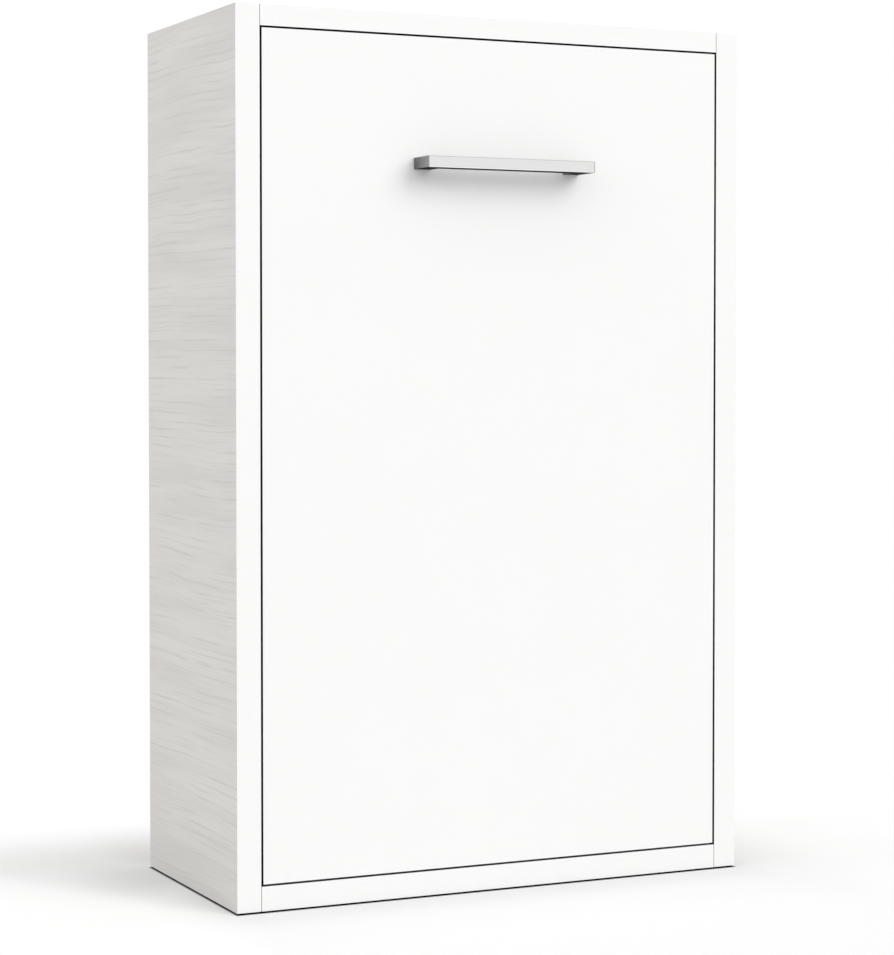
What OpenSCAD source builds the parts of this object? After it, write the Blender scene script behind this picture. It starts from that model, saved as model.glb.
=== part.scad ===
// Vertical wall bed. A deep cabinet stands on the floor, and its whole front swings down as a bed.
// The front panel, the steel frame with its slats and the mattress turn as one about two pins low
// in the side panels. Two gas springs carry their weight. The deep handle is also the bed's foot:
// its face meets the floor when the bed is down.
// Millimetres. X runs to the right, Y to the back and Z up. The origin is on the floor, under the
// middle of the closed bed.

/* [Cabinet] */
// Space between the mattress and each side panel, for the pivot and the gas spring
side_bay = 33; // [30:1:45]
// Space between the mattress's upper end and the top panel
head_room = 33; // [20:1:80]
// Depth from the front edges to the wall
cabinet_d = 650; // [600:5:720]
// Thickness of the side panels
side_t = 62; // [50:1:64]
// Thickness of the top panel
top_t = 50; // [36:1:56]
// Thickness of the edging on the side panels' front edges
edging_t = 1; // [0.5:0.5:3]
// Height of the floor glides
glide_h = 4; // [2:1:10]
// Height of the bottom rail's top edge above the floor
rail_top = 64; // [50:1:66]
// Thickness of the bottom rail
rail_t = 18; // [16:1:19]
// How far the bottom rail's top edge slopes down to the back, out of the front panel's way
rail_slope = 12; // [10:1:20]
// Thickness of the headboard panel and the shelf over it
board_t = 18; // [15:1:25]
// Height of the lower edges of the headboard and of the lower rear rail
inner_low_z = 60; // [30:5:100]
// Height of the shelf's underside
shelf_z = 560; // [480:5:620]
// Thickness of the rails along the cabinet's back
rear_rail_t = 22; // [18:1:30]
// Height of the rails along the cabinet's back
rear_rail_h = 100; // [70:5:140]
// Thickness of the back panels
back_t = 6; // [3:1:8]
// Depth of the grooves that hold the back panels
groove_depth = 8; // [5:1:12]
// Height of the joint between the two back panels
back_joint_z = 1100; // [900:10:1300]

/* [Wall fixing] */
// Distance between the wall fixing holes across the cabinet
wall_hole_span = 1000; // [800:10:1100]
// Radius of the wall fixing holes
wall_hole_r = 4; // [3:0.5:6]
// Distance of the angle brackets from the middle
wall_bracket_x = 300; // [200:10:400]

/* [Front panel and handle] */
// Thickness of the front panel
front_t = 22; // [18:1:24]
// Gap around the front panel
front_gap = 5; // [4:0.5:7]
// Length of the handle
handle_l = 458; // [300:2:600]
// Height of the handle's bar
handle_h = 28; // [20:1:40]
// How far the handle stands out from the front panel
handle_reach = 88; // [82:1:100]
// Depth of the handle's bar
handle_bar_d = 45; // [25:1:55]
// Width of the handle's two feet
handle_foot_w = 45; // [30:1:60]
// Height of the handle above the floor
handle_z = 1814; // [1600:2:1950]

/* [Bed] */
// Width of the mattress
mattress_w = 1200; // [1100:5:1200]
// Length of the mattress
mattress_l = 2000; // [1900:5:2005]
// Thickness of the mattress
mattress_t = 190; // [140:5:200]
// Radius of the mattress's corners
mattress_r = 40; // [20:5:60]
// Width of the frame tubes' faces
tube_w = 40; // [30:1:45]
// Depth of the frame tubes, from the front panel to the slats
tube_d = 30; // [25:1:32]
// Wall of the frame tubes
tube_wall = 2; // [1.5:0.5:3]
// Number of cross rails between the end rails
cross_rails_n = 2; // [1:1:3]
// Width of a slat
slat_w = 95; // [60:1:110]
// Thickness of a slat
slat_t = 9; // [7:0.5:10]
// How far a slat bows up in its middle
slat_bow = 8; // [4:1:10]
// Distance of the two bedding straps from the ends of the mattress
strap_inset = 600; // [450:10:750]
// Width of the bedding straps
strap_w = 40; // [25:1:50]
// Thickness of the bedding straps
strap_t = 1.6; // [1:0.2:2.4]
// Radius of the rod that the mattress retainers are bent from
retainer_r = 5; // [3:0.5:6]
// How far the mattress retainers reach along the mattress's end
retainer_reach = 120; // [80:5:160]

/* [Pivot and gas springs] */
// Distance of the pivot behind the cabinet's front
pivot_back = 120; // [118:1:126]
// Radius of the pivot pins
pin_r = 8; // [6:0.5:8.5]
// Thickness of the steel plates on the side panels
plate_t = 4; // [3:0.5:5]
// Thickness of the lever plates on the bed frame
lever_t = 5; // [4:0.5:6]
// Distance from the pivot to the gas spring's lower stud
lever_r = 120; // [100:1:130]
// Depth of the gas spring's upper stud behind the pivot
spring_depth = 180; // [150:5:190]
// Height of the gas spring's upper stud above the pivot
spring_up = 500; // [440:5:560]
// Radius of the gas spring's tube
spring_tube_r = 9; // [8:0.5:10]
// Wall of the gas spring's tube
spring_wall = 1.6; // [1:0.1:2.2]
// Length of the gas spring's tube
spring_tube_l = 400; // [360:5:420]
// Radius of the gas spring's rod
spring_rod_r = 4; // [3:0.5:5]
// Width of the gas spring's eyes
eye_w = 14; // [10:0.5:15]
// Radius of the studs in the gas spring's eyes
stud_r = 5; // [4:0.5:6]

/* [Hidden] */
SLATS = 11;
$fn = 48;

// Clearances
rest_gap = 0.3;       // between soft or moving pieces and what they rest on
run_gap = 0.05;       // radial, between a turning pin and its bore
seat_gap = 0.1;       // radial, around a screw, bolt or cam in its hole
side_gap = 0.2;       // along a stud, on each side of an eye
slide_gap = 0.2;      // around a panel in its groove
mattress_side_gap = 1;

// Cabinet: its width and height follow from the mattress
frame_inset = 12;     // frame above the front panel's lower edge
mattress_inset = 16;  // mattress above the frame's lower edge
front_low_z = rail_top + front_gap;
frame_low_z = front_low_z + frame_inset;
mattress_low_z = frame_low_z + mattress_inset;
mattress_top_z = mattress_low_z + mattress_l;
inner_x = mattress_w / 2 + side_bay;
top_z = mattress_top_z + head_room;
cabinet_h = top_z + top_t;
front_y = -(cabinet_d + handle_reach) / 2 + handle_reach;
back_y = front_y + cabinet_d;
rear_rail_y = back_y - rear_rail_t;
back_mid_y = rear_rail_y + rear_rail_t / 2;
back_front_y = back_mid_y - back_t / 2;

// Pivot: with the bed down, the handle's face lies on the floor
pivot_y = front_y + pivot_back;
pivot_z = pivot_back + handle_reach;

// Front panel
front_back_y = front_y + front_t;
front_top_z = top_z - front_gap;
front_half_w = inner_x - front_gap;

// Bed frame and mattress, as they stand when the bed is closed
frame_margin = 7;     // frame beyond the mattress's upper end
holder_base = 3;
holder_lid = 2;
rail_out_x = mattress_w / 2 + mattress_side_gap;
rail_in_x = rail_out_x - tube_w;
frame_y = front_back_y + tube_d;
frame_top_z = mattress_top_z + frame_margin;
rail_mid_y = front_back_y + tube_d / 2;
tube_r = 4;
slat_seat_y = frame_y + holder_base;
mattress_front_y = slat_seat_y + slat_t + slat_bow + rest_gap;
mattress_back_y = mattress_front_y + mattress_t;
cross_pitch = (frame_top_z - frame_low_z) / (cross_rails_n + 1);
slat_end_margin = 38; // from an end rail to the nearest slat
slat_inset = 11;      // slat's end from the side rail's outer face
holder_inset = 3;     // holder from the side rail's outer face
holder_grip = 42;     // length of slat inside a holder
slat_first_z = frame_low_z + tube_w + slat_end_margin + slat_w / 2;
slat_last_z = frame_top_z - tube_w - slat_end_margin - slat_w / 2;
slat_pitch = (slat_last_z - slat_first_z) / (SLATS - 1);
slat_half_l = rail_out_x - slat_inset;
holder_out_x = rail_out_x - holder_inset;
holder_in_x = slat_half_l - holder_grip;
slat_rise = slat_bow * (1 - pow(holder_in_x / slat_half_l, 2));

// Headboard: just behind the path of the mattress's lower corner
swing_gap = 24;
swing_r = norm([mattress_back_y - pivot_y, mattress_low_z - pivot_z]);
head_y = pivot_y + swing_r + swing_gap;

// Layers beside the mattress, from the bed frame out to the side panel
lever_out_x = rail_out_x + lever_t;
plate_in_x = inner_x - plate_t;
spring_x = (lever_out_x + plate_in_x) / 2;
boss_l = 10;
boss_wall = 5;
boss_out_x = lever_out_x + boss_l;
bush_wall = 2;
bush_r = pin_r + run_gap + bush_wall;
boss_r = bush_r + seat_gap + boss_wall;
bush_flange_t = 2;
bush_flange_r = bush_r + 3.5;
collar_r = pin_r + 5;
pin_head_r = pin_r + 5;
pin_head_t = 4;
pivot_plate_w = 120;
pivot_plate_h = 160;
plate_corner_r = 12;
plate_screw_inset = 18; // from the pivot plate's edges to its screws

// Gas springs: the lower stud as it stands when the bed is closed, and both lengths
stud_low_z = pivot_z - lever_r;
spring_top_y = pivot_y + spring_depth;
spring_top_z = pivot_z + spring_up;
spring_rest_l = norm([spring_depth, spring_up + lever_r]);
spring_open_l = norm([spring_depth - lever_r, spring_up]);
spring_lean = atan2(spring_depth, spring_up + lever_r);
spring_lean_open = atan2(spring_depth - lever_r, spring_up);
eye_r = stud_r + 6;
eye_neck = 14;        // from the eye's middle to the end of its neck
neck_r = stud_r + 1.5;
stud_flange_r = stud_r + 4;
stud_flange_t = 2;
stud_clip_r = stud_r + 2;
piston_l = 12;
piston_margin = 20;
guide_l = 10;
spring_bracket_w = 50;
spring_bracket_h = 90;
spring_bracket_rise = 20; // the bracket's middle above its stud, clear of the gas spring's tube
spring_screw_inset = 13;  // from the bracket's edges to its screws

echo(spring_rest_l = spring_rest_l, spring_open_l = spring_open_l);
echo(spring_stroke = spring_rest_l - spring_open_l, turn = spring_lean - spring_lean_open);
echo(pivot_y = pivot_y, pivot_z = pivot_z, head_y = head_y, spring_top_y = spring_top_y);

// Stop blocks behind the front panel's side edges
stop_drop = 225;      // from the front panel's upper edge to the stop blocks' middles
stop_z = front_top_z - stop_drop;
stop_h = 60;
stop_d = 40;
buffer_r = 9;
buffer_t = 6;
buffer_front_y = front_back_y + rest_gap;
stop_front_y = buffer_front_y + buffer_t;
stop_side_gap = 5;
stop_w = inner_x - rail_out_x - stop_side_gap;
stop_mid_x = inner_x - stop_w / 2;
stop_bore_r = 5;
stop_bore_d = 5;

// Screws: length, shank and head
wood_screw = [30, 2.5, 4.5, 3];
short_screw = [14, 2, 4, 2.4];
handle_screw = [34, 2.5, 5, 3];

// Cam fittings: [y, z, turn] of each one at a side panel's inner face. The cam's open face looks
// down at turn 0, to the back at 90 and to the front at -90.
cam_r = 7.5;
cam_depth = 12.5;
cam_inset = 34;
cam_bolt_r = 3.5;
cam_bolt_out = 11;
cam_axis = 8;
cam_edge = 80;        // from a board's edge to its first fitting
cam_places = [
    [front_y + cam_edge, top_z, 0],
    [front_y + cabinet_d / 2, top_z, 0],
    [back_y - cam_edge, top_z, 0],
    [front_y + rail_t, (glide_h + rail_top - rail_slope) / 2, 90],
    [rear_rail_y, top_z - rear_rail_h / 2, -90],
    [rear_rail_y, inner_low_z + rear_rail_h / 2, -90],
    [head_y + board_t, inner_low_z + cam_edge, 90],
    [head_y + board_t, shelf_z - cam_edge, 90],
    [head_y + cam_edge, shelf_z, 0],
    [back_front_y - cam_edge, shelf_z, 0]];

// Colours
white = [0.94, 0.94, 0.93];
ash = [0.83, 0.82, 0.79];
steel_grey = [0.42, 0.43, 0.45];
zinc = [0.72, 0.73, 0.74];
alu = [0.78, 0.78, 0.79];
beech = [0.82, 0.68, 0.50];
black = [0.10, 0.10, 0.11];

// Helpers: placing
module both_sides() {
    children();
    mirror([1, 0, 0]) children();
}

// Extrudes a (y, z) outline along X from x to x + t
module across_x(x, t) {
    translate([x, 0, 0]) rotate([90, 0, 90]) linear_extrude(t) children();
}

// Round bar along +X from x to x + l at (y, z)
module pin_x(x, y, z, r, l) {
    translate([x, y, z]) rotate([0, 90, 0]) cylinder(r = r, h = l);
}

// A bar with round ends between two points
module link(p, q, r) {
    side = r * [p[1] - q[1], q[0] - p[0]] / norm(q - p);
    translate(p) circle(r);
    translate(q) circle(r);
    polygon([p + side, q + side, q - side, p - side]);
}

module rounded_rect(w, h, r) {
    square([w - 2 * r, h], center = true);
    square([w, h - 2 * r], center = true);
    for (sx = [-1, 1]) for (sy = [-1, 1])
        translate([sx * (w / 2 - r), sy * (h / 2 - r)]) circle(r);
}

// Helpers: fasteners. A screw points along -Z with its head standing on the XY plane.
module screw(size) {
    tip = 2 * size[1];
    rotate_extrude() polygon([
        [0, -size[0]], [size[1] * 0.2, -size[0]], [size[1], tip - size[0]], [size[1], 0],
        [size[2], 0], [size[2], size[3] * 0.5], [size[2] * 0.6, size[3]], [0, size[3]]]);
}

module screw_hole(size) {
    translate([0, 0, -size[0] - 1]) cylinder(r = size[1] + seat_gap, h = size[0] + 2);
}

module at_cams() {
    both_sides()
        for (p = cam_places)
            translate([inner_x, p[0], p[1]]) rotate([p[2], 0, 0]) children();
}

module cam_holes() {
    at_cams() {
        translate([-cam_inset, 0, -1]) cylinder(r = cam_r + seat_gap, h = cam_depth + 1 + seat_gap);
        pin_x(-cam_inset, 0, cam_axis, cam_bolt_r + seat_gap, cam_inset + cam_bolt_out + seat_gap);
    }
}

module at_pivot_plate_screws() {
    for (dy = [-1, 1]) for (dz = [-1, 1])
        translate([plate_in_x, pivot_y + dy * (pivot_plate_w / 2 - plate_screw_inset),
            pivot_z + dz * (pivot_plate_h / 2 - plate_screw_inset)])
            rotate([0, -90, 0]) children();
}

// Both of the spring bracket's screws are above its stud, where the gas spring doesn't pass
module at_spring_bracket_screws() {
    z = spring_top_z + spring_bracket_rise + spring_bracket_h / 2 - spring_screw_inset;
    for (dy = [-1, 1])
        translate([plate_in_x, spring_top_y + dy * (spring_bracket_w / 2 - spring_screw_inset), z])
            rotate([0, -90, 0]) children();
}

module at_stop_screws() {
    for (dz = [-1, 1])
        translate([inner_x - stop_w + stop_bore_d, stop_front_y + 0.6 * stop_d,
            stop_z + dz * stop_h / 4])
            rotate([0, -90, 0]) children();
}

// The angle brackets' screws: two up into the top panel, two back into the rear rail
bracket_leg = 36;
bracket_w = 40;
bracket_t = 2.5;
bracket_screw_out = 22; // from the bracket's corner to its screws
module at_wall_bracket_screws() {
    for (dx = [-1, 1] * bracket_w / 4) {
        translate([wall_bracket_x + dx, rear_rail_y - bracket_screw_out, top_z - bracket_t])
            rotate([180, 0, 0]) children();
        translate([wall_bracket_x + dx, rear_rail_y - bracket_t, top_z - bracket_screw_out])
            rotate([90, 0, 0]) children();
    }
}

// Cabinet boards
module side_panel() {
    spigot = glide_spigot_h + seat_gap;
    difference() {
        translate([inner_x, front_y + edging_t, glide_h])
            cube([side_t, cabinet_d - edging_t, cabinet_h - glide_h]);
        translate([inner_x - 1, back_front_y - slide_gap, inner_low_z + rear_rail_h - groove_depth])
            cube([groove_depth + 1, back_t + 2 * slide_gap,
                top_z - inner_low_z - 2 * rear_rail_h + 2 * groove_depth]);
        cam_holes();
        pin_x(inner_x - 1, pivot_y, pivot_z, pin_head_r + rest_gap, pin_head_t + 1 + rest_gap);
        at_pivot_plate_screws() screw_hole(wood_screw);
        at_spring_bracket_screws() screw_hole(wood_screw);
        at_stop_screws() screw_hole(wood_screw);
        at_glides() translate([0, 0, glide_h - 1]) cylinder(r = glide_spigot_r + seat_gap, h = spigot + 1);
    }
}

module side_panel_right() { color(ash) side_panel(); }
module side_panel_left() { color(ash) mirror([1, 0, 0]) side_panel(); }

module side_edging() {
    color(white) both_sides()
        translate([inner_x, front_y, glide_h]) cube([side_t, edging_t, cabinet_h - glide_h]);
}

module top_panel() {
    color(white) difference() {
        translate([-inner_x, front_y, top_z]) cube([2 * inner_x, cabinet_d, top_t]);
        cam_holes();
        both_sides() at_wall_bracket_screws() screw_hole(short_screw);
    }
}

module bottom_rail() {
    lip = 2;
    color(white) difference() {
        across_x(-inner_x, 2 * inner_x) polygon([
            [front_y, glide_h], [front_y + rail_t, glide_h],
            [front_y + rail_t, rail_top - rail_slope], [front_y + lip, rail_top],
            [front_y, rail_top]]);
        cam_holes();
    }
}

module headboard_panel() {
    color(white) difference() {
        translate([-inner_x, head_y, inner_low_z]) cube([2 * inner_x, board_t, shelf_z - inner_low_z]);
        cam_holes();
    }
}

module head_shelf() {
    color(white) difference() {
        translate([-inner_x, head_y, shelf_z]) cube([2 * inner_x, back_front_y - head_y, board_t]);
        cam_holes();
    }
}

// Back panels: their edges sit in grooves in the side panels and the rear rails
module back_panel(low_z, high_z) {
    half_w = inner_x + groove_depth - slide_gap;
    translate([-half_w, back_front_y, low_z]) cube([2 * half_w, back_t, high_z - low_z]);
}

strip_web = 2;
strip_flange = 12;
strip_t = 1.2;

module back_panel_upper() {
    color(white)
        back_panel(back_joint_z + strip_web / 2, top_z - rear_rail_h + groove_depth - slide_gap);
}

module back_panel_lower() {
    color(white)
        back_panel(inner_low_z + rear_rail_h - groove_depth + slide_gap, back_joint_z - strip_web / 2);
}

// H-shaped strip that joins the back panels
module back_joint_strip() {
    color(white) {
        translate([-inner_x, back_front_y, back_joint_z - strip_web / 2])
            cube([2 * inner_x, back_t, strip_web]);
        for (y = [back_front_y - strip_t, back_front_y + back_t])
            translate([-inner_x, y, back_joint_z - strip_flange])
                cube([2 * inner_x, strip_t, 2 * strip_flange]);
    }
}

// Rear rails: grooved for the back panels and bored for the wall fixings
module rear_rail(low_z, groove_z) {
    difference() {
        translate([-inner_x, rear_rail_y, low_z]) cube([2 * inner_x, rear_rail_t, rear_rail_h]);
        translate([-inner_x - 1, back_front_y - slide_gap, groove_z])
            cube([2 * inner_x + 2, back_t + 2 * slide_gap, groove_depth + 1]);
        both_sides()
            translate([wall_hole_span / 2, rear_rail_y - 1, low_z + rear_rail_h / 2])
                rotate([-90, 0, 0]) cylinder(r = wall_hole_r, h = rear_rail_t + 2);
        cam_holes();
        both_sides() at_wall_bracket_screws() screw_hole(short_screw);
    }
}

module rear_rail_top() { color(white) rear_rail(top_z - rear_rail_h, top_z - rear_rail_h - 1); }

module rear_rail_bottom() {
    color(white) rear_rail(inner_low_z, inner_low_z + rear_rail_h - groove_depth);
}

// Cabinet fittings
module wall_brackets() {
    color(zinc) both_sides() difference() {
        translate([wall_bracket_x - bracket_w / 2, rear_rail_y - bracket_leg, top_z - bracket_leg])
            difference() {
                cube([bracket_w, bracket_leg, bracket_leg]);
                translate([-1, -1, -1])
                    cube([bracket_w + 2, bracket_leg - bracket_t + 1, bracket_leg - bracket_t + 1]);
            }
        at_wall_bracket_screws() screw_hole(short_screw);
    }
}

module cam_locks() {
    slot_l = 10;
    slot_w = 2;
    color(zinc) at_cams()
        translate([-cam_inset, 0, 0]) difference() {
            cylinder(r = cam_r, h = cam_depth);
            translate([-slot_l / 2, -slot_w / 2, -1]) cube([slot_l, slot_w, 3]);
            translate([-slot_w / 2, -slot_l / 2, -1]) cube([slot_w, slot_l, 3]);
        }
}

module cam_bolts() {
    start = -cam_inset + cam_r + rest_gap;
    color(zinc) at_cams() pin_x(start, 0, cam_axis, cam_bolt_r, cam_bolt_out - start);
}

glide_r = 20;
glide_spigot_r = 4;
glide_spigot_h = 10;
glide_inset = 45;     // from the cabinet's front and back to the glides
module at_glides() {
    for (y = [front_y + glide_inset, back_y - glide_inset])
        translate([inner_x + side_t / 2, y, 0]) children();
}

module floor_glides() {
    color(black) both_sides() at_glides()
        rotate_extrude() polygon([
            [0, 0], [glide_r - 1, 0], [glide_r, 1], [glide_r, glide_h], [glide_spigot_r, glide_h],
            [glide_spigot_r, glide_h + glide_spigot_h], [0, glide_h + glide_spigot_h]]);
}

module stop_blocks() {
    color(white) both_sides() difference() {
        translate([inner_x - stop_w, stop_front_y, stop_z - stop_h / 2]) cube([stop_w, stop_d, stop_h]);
        at_stop_screws() {
            screw_hole(wood_screw);
            cylinder(r = stop_bore_r, h = stop_bore_d + 1);
        }
    }
}

module closing_buffers() {
    color(black) both_sides()
        translate([stop_mid_x, stop_front_y, stop_z]) rotate([90, 0, 0])
            rotate_extrude() polygon([
                [0, 0], [buffer_r, 0], [buffer_r - 1.5, buffer_t], [0, buffer_t]]);
}

// Pivot plates: each carries a welded pin, whose head sits in a recess in the side panel
module pivot_plates() {
    color(zinc) both_sides() {
        difference() {
            across_x(plate_in_x, plate_t)
                translate([pivot_y, pivot_z]) rounded_rect(pivot_plate_w, pivot_plate_h, plate_corner_r);
            at_pivot_plate_screws() screw_hole(wood_screw);
        }
        pin_x(rail_out_x + rest_gap, pivot_y, pivot_z, pin_r, inner_x - rail_out_x);
        pin_x(boss_out_x + bush_flange_t + rest_gap, pivot_y, pivot_z, collar_r,
            plate_in_x - boss_out_x - bush_flange_t - rest_gap);
        pin_x(inner_x, pivot_y, pivot_z, pin_head_r, pin_head_t);
    }
}

// A stud through a gas spring's eye: a flange on one side of the eye and a clip on the other
module eye_stud(y, z, flange_x, clip_x) {
    near_x = spring_x - eye_w / 2 - side_gap;
    far_x = spring_x + eye_w / 2 + side_gap;
    pin_x(flange_x, y, z, stud_flange_r, near_x - flange_x);
    pin_x(near_x, y, z, stud_r, far_x - near_x);
    pin_x(far_x, y, z, stud_clip_r, clip_x - far_x);
}

module spring_brackets() {
    near_x = spring_x - eye_w / 2 - side_gap;
    color(zinc) both_sides() {
        difference() {
            across_x(plate_in_x, plate_t)
                translate([spring_top_y, spring_top_z + spring_bracket_rise])
                rounded_rect(spring_bracket_w, spring_bracket_h, plate_corner_r);
            at_spring_bracket_screws() screw_hole(wood_screw);
        }
        eye_stud(spring_top_y, spring_top_z, near_x - stud_flange_t, plate_in_x);
    }
}

module cabinet_screws() {
    color(zinc) both_sides() {
        at_pivot_plate_screws() screw(wood_screw);
        at_spring_bracket_screws() screw(wood_screw);
        at_stop_screws() screw(wood_screw);
        at_wall_bracket_screws() screw(short_screw);
    }
}

// Front panel and handle
module at_handle_screws() {
    both_sides() translate([handle_l / 2 - handle_foot_w / 2, front_back_y, handle_z])
        rotate([-90, 0, 0]) children();
}

module front_panel() {
    color(white) difference() {
        translate([-front_half_w, front_y, front_low_z])
            cube([2 * front_half_w, front_t, front_top_z - front_low_z]);
        at_handle_screws() screw_hole(handle_screw);
        at_panel_brackets() at_bracket_screws_front() screw_hole(short_screw);
    }
}

// One U-shaped bar: the grip with a foot at each end
module handle() {
    half_l = handle_l / 2;
    foot_x = half_l - handle_foot_w;
    face_y = front_y - handle_reach;
    grip_y = face_y + handle_bar_d;
    ease = 1.5;
    color(alu) difference() {
        translate([0, 0, handle_z - handle_h / 2]) linear_extrude(handle_h) polygon([
            [-half_l, front_y], [-half_l, face_y + ease], [-half_l + ease, face_y],
            [half_l - ease, face_y], [half_l, face_y + ease], [half_l, front_y],
            [foot_x, front_y], [foot_x, grip_y], [-foot_x, grip_y], [-foot_x, front_y]]);
        at_handle_screws() screw_hole(handle_screw);
    }
}

module handle_screws() { color(zinc) at_handle_screws() screw(handle_screw); }

// Bed frame
lever_bolt_zs = [-90, 40, 170];
module at_lever_bolts() {
    for (dz = lever_bolt_zs) translate([lever_out_x, rail_mid_y, pivot_z + dz]) children();
}

lever_bolt_r = 4;
module lever_bolt_holes() {
    at_lever_bolts() pin_x(-20, 0, 0, lever_bolt_r + seat_gap, 21);
}

// Section of a frame tube, with rounded corners
module tube_section(w, d) {
    difference() {
        rounded_rect(w, d, tube_r);
        rounded_rect(w - 2 * tube_wall, d - 2 * tube_wall, tube_r - tube_wall + 0.5);
    }
}

module side_rail() {
    difference() {
        translate([rail_in_x + tube_w / 2, rail_mid_y, frame_low_z])
            linear_extrude(frame_top_z - frame_low_z) tube_section(tube_w, tube_d);
        lever_bolt_holes();
        at_panel_brackets() at_bracket_screws_side() screw_hole(short_screw);
    }
}

module side_rail_right() { color(steel_grey) side_rail(); }
module side_rail_left() { color(steel_grey) mirror([1, 0, 0]) side_rail(); }

module rail_across(low_z) {
    across_x(-rail_in_x, 2 * rail_in_x)
        translate([rail_mid_y, low_z + tube_w / 2]) tube_section(tube_d, tube_w);
}

module head_rail() { color(steel_grey) rail_across(frame_low_z); }
module foot_rail() { color(steel_grey) rail_across(frame_top_z - tube_w); }

module cross_rails() {
    color(steel_grey)
        for (i = [1:cross_rails_n]) rail_across(frame_low_z + i * cross_pitch - tube_w / 2);
}

// Angle brackets that hold the front panel to the side rails
panel_bracket_leg = 22;
panel_bracket_t = 2;
panel_bracket_w = 40;
panel_screw_z = 11;
panel_bracket_zs = [0.12, 0.5, 0.88]; // as shares of the frame's length
module at_panel_brackets() {
    both_sides() for (k = panel_bracket_zs)
        translate([rail_in_x, front_back_y, frame_low_z + k * (frame_top_z - frame_low_z)]) children();
}

module at_bracket_screws_front() {
    for (sz = [-1, 1]) translate([-panel_bracket_leg * 0.6, panel_bracket_t, sz * panel_screw_z])
        rotate([-90, 0, 0]) children();
}

module at_bracket_screws_side() {
    for (sz = [-1, 1]) translate([-panel_bracket_t, panel_bracket_leg * 0.65, sz * panel_screw_z])
        rotate([0, -90, 0]) children();
}

module panel_brackets() {
    color(zinc) at_panel_brackets() difference() {
        translate([-panel_bracket_leg, 0, -panel_bracket_w / 2])
            cube([panel_bracket_leg, panel_bracket_leg, panel_bracket_w]);
        translate([-panel_bracket_leg - 1, panel_bracket_t, -panel_bracket_w / 2 - 1])
            cube([panel_bracket_leg - panel_bracket_t + 1, panel_bracket_leg, panel_bracket_w + 2]);
        at_bracket_screws_front() screw_hole(short_screw);
        at_bracket_screws_side() screw_hole(short_screw);
    }
}

module panel_screws() {
    color(zinc) at_panel_brackets() {
        at_bracket_screws_front() screw(short_screw);
        at_bracket_screws_side() screw(short_screw);
    }
}

// Slats: thin planks that bow up in the middle, their ends in plastic holders
function slat_y(x) = slat_bow * (1 - pow(x / slat_half_l, 2));
slat_steps = 12;
slat_xs = [for (i = [-slat_steps:slat_steps]) slat_half_l * i / slat_steps];

module slat(i) {
    color(beech)
        translate([0, slat_seat_y, slat_first_z + (i - 1) * slat_pitch - slat_w / 2])
            linear_extrude(slat_w) polygon(concat(
                [for (x = slat_xs) [x, slat_y(x)]],
                [for (x = slat_xs) [-x, slat_y(x) + slat_t]]));
}

module slat_holders() {
    rim = 4;
    mouth = slat_t + slat_rise + slide_gap;
    color(black) both_sides() for (i = [0:SLATS - 1])
        translate([holder_in_x, frame_y, slat_first_z + i * slat_pitch]) difference() {
            translate([0, 0, -slat_w / 2 - rim])
                cube([holder_out_x - holder_in_x, holder_base + mouth + holder_lid, slat_w + 2 * rim]);
            translate([-1, holder_base, -slat_w / 2 - slide_gap])
                cube([slat_half_l - holder_in_x + 1 + slide_gap, mouth, slat_w + 2 * slide_gap]);
        }
}

// Lever plates: bolted to the side rails, they carry the pivot bushes and reach down to the gas
// springs' lower studs. Two holes lighten each one.
lever_arm_r = 14;
lever_tip_r = 20;
lever_hub_r = 28;
lever_hole_r = 16;             // between the pivot and the lowest bolt
lever_slim_hole_r = 13;        // below the upper arm
lever_slim_hole_y = 12;        // its middle, ahead of and below the upper arm's middle
lever_slim_hole_z = 28;
module lever_outline() {
    low = [rail_mid_y, pivot_z + lever_bolt_zs[0]];
    high = [rail_mid_y, pivot_z + lever_bolt_zs[2]];
    pivot = [pivot_y, pivot_z];
    stud = [pivot_y, stud_low_z];
    difference() {
        union() {
            link(low, high, tube_d / 2 - 1);
            link(high, pivot, lever_arm_r);
            link(low, stud, lever_arm_r);
            link(stud, pivot, lever_tip_r);
            translate(pivot) circle(lever_hub_r);
            polygon([low, high, pivot, stud]);
        }
        translate((low + pivot) / 2) circle(lever_hole_r);
        translate((high + pivot) / 2 - [lever_slim_hole_y, lever_slim_hole_z])
            circle(lever_slim_hole_r);
    }
}

module lever_plates() {
    color(steel_grey) both_sides() difference() {
        union() {
            across_x(rail_out_x, lever_t) lever_outline();
            pin_x(lever_out_x, pivot_y, pivot_z, boss_r, boss_out_x - lever_out_x);
        }
        pin_x(rail_out_x - 1, pivot_y, pivot_z, bush_r + run_gap, boss_out_x - rail_out_x + 2);
        lever_bolt_holes();
    }
}

module pivot_bushes() {
    color(black) both_sides() difference() {
        union() {
            pin_x(rail_out_x, pivot_y, pivot_z, bush_r, boss_out_x - rail_out_x);
            pin_x(boss_out_x, pivot_y, pivot_z, bush_flange_r, bush_flange_t);
        }
        pin_x(rail_out_x - 1, pivot_y, pivot_z, pin_r + run_gap, boss_out_x - rail_out_x + 5);
    }
}

module lever_bolts() {
    shank = lever_t + tube_wall + 10;
    washer_t = 1.5;
    head_h = 5;
    color(zinc) both_sides() at_lever_bolts() {
        pin_x(-shank, 0, 0, lever_bolt_r, shank + 1);
        pin_x(0, 0, 0, 2 * lever_bolt_r, washer_t);
        translate([washer_t, 0, 0]) rotate([0, 90, 0])
            cylinder(r = 1.75 * lever_bolt_r, h = head_h, $fn = 6);
    }
}

// Mattress and what holds it
module mattress() {
    color(white)
        translate([0, mattress_front_y, (mattress_low_z + mattress_top_z) / 2]) rotate([-90, 0, 0])
            linear_extrude(mattress_t) rounded_rect(mattress_w, mattress_l, mattress_r);
}

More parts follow.
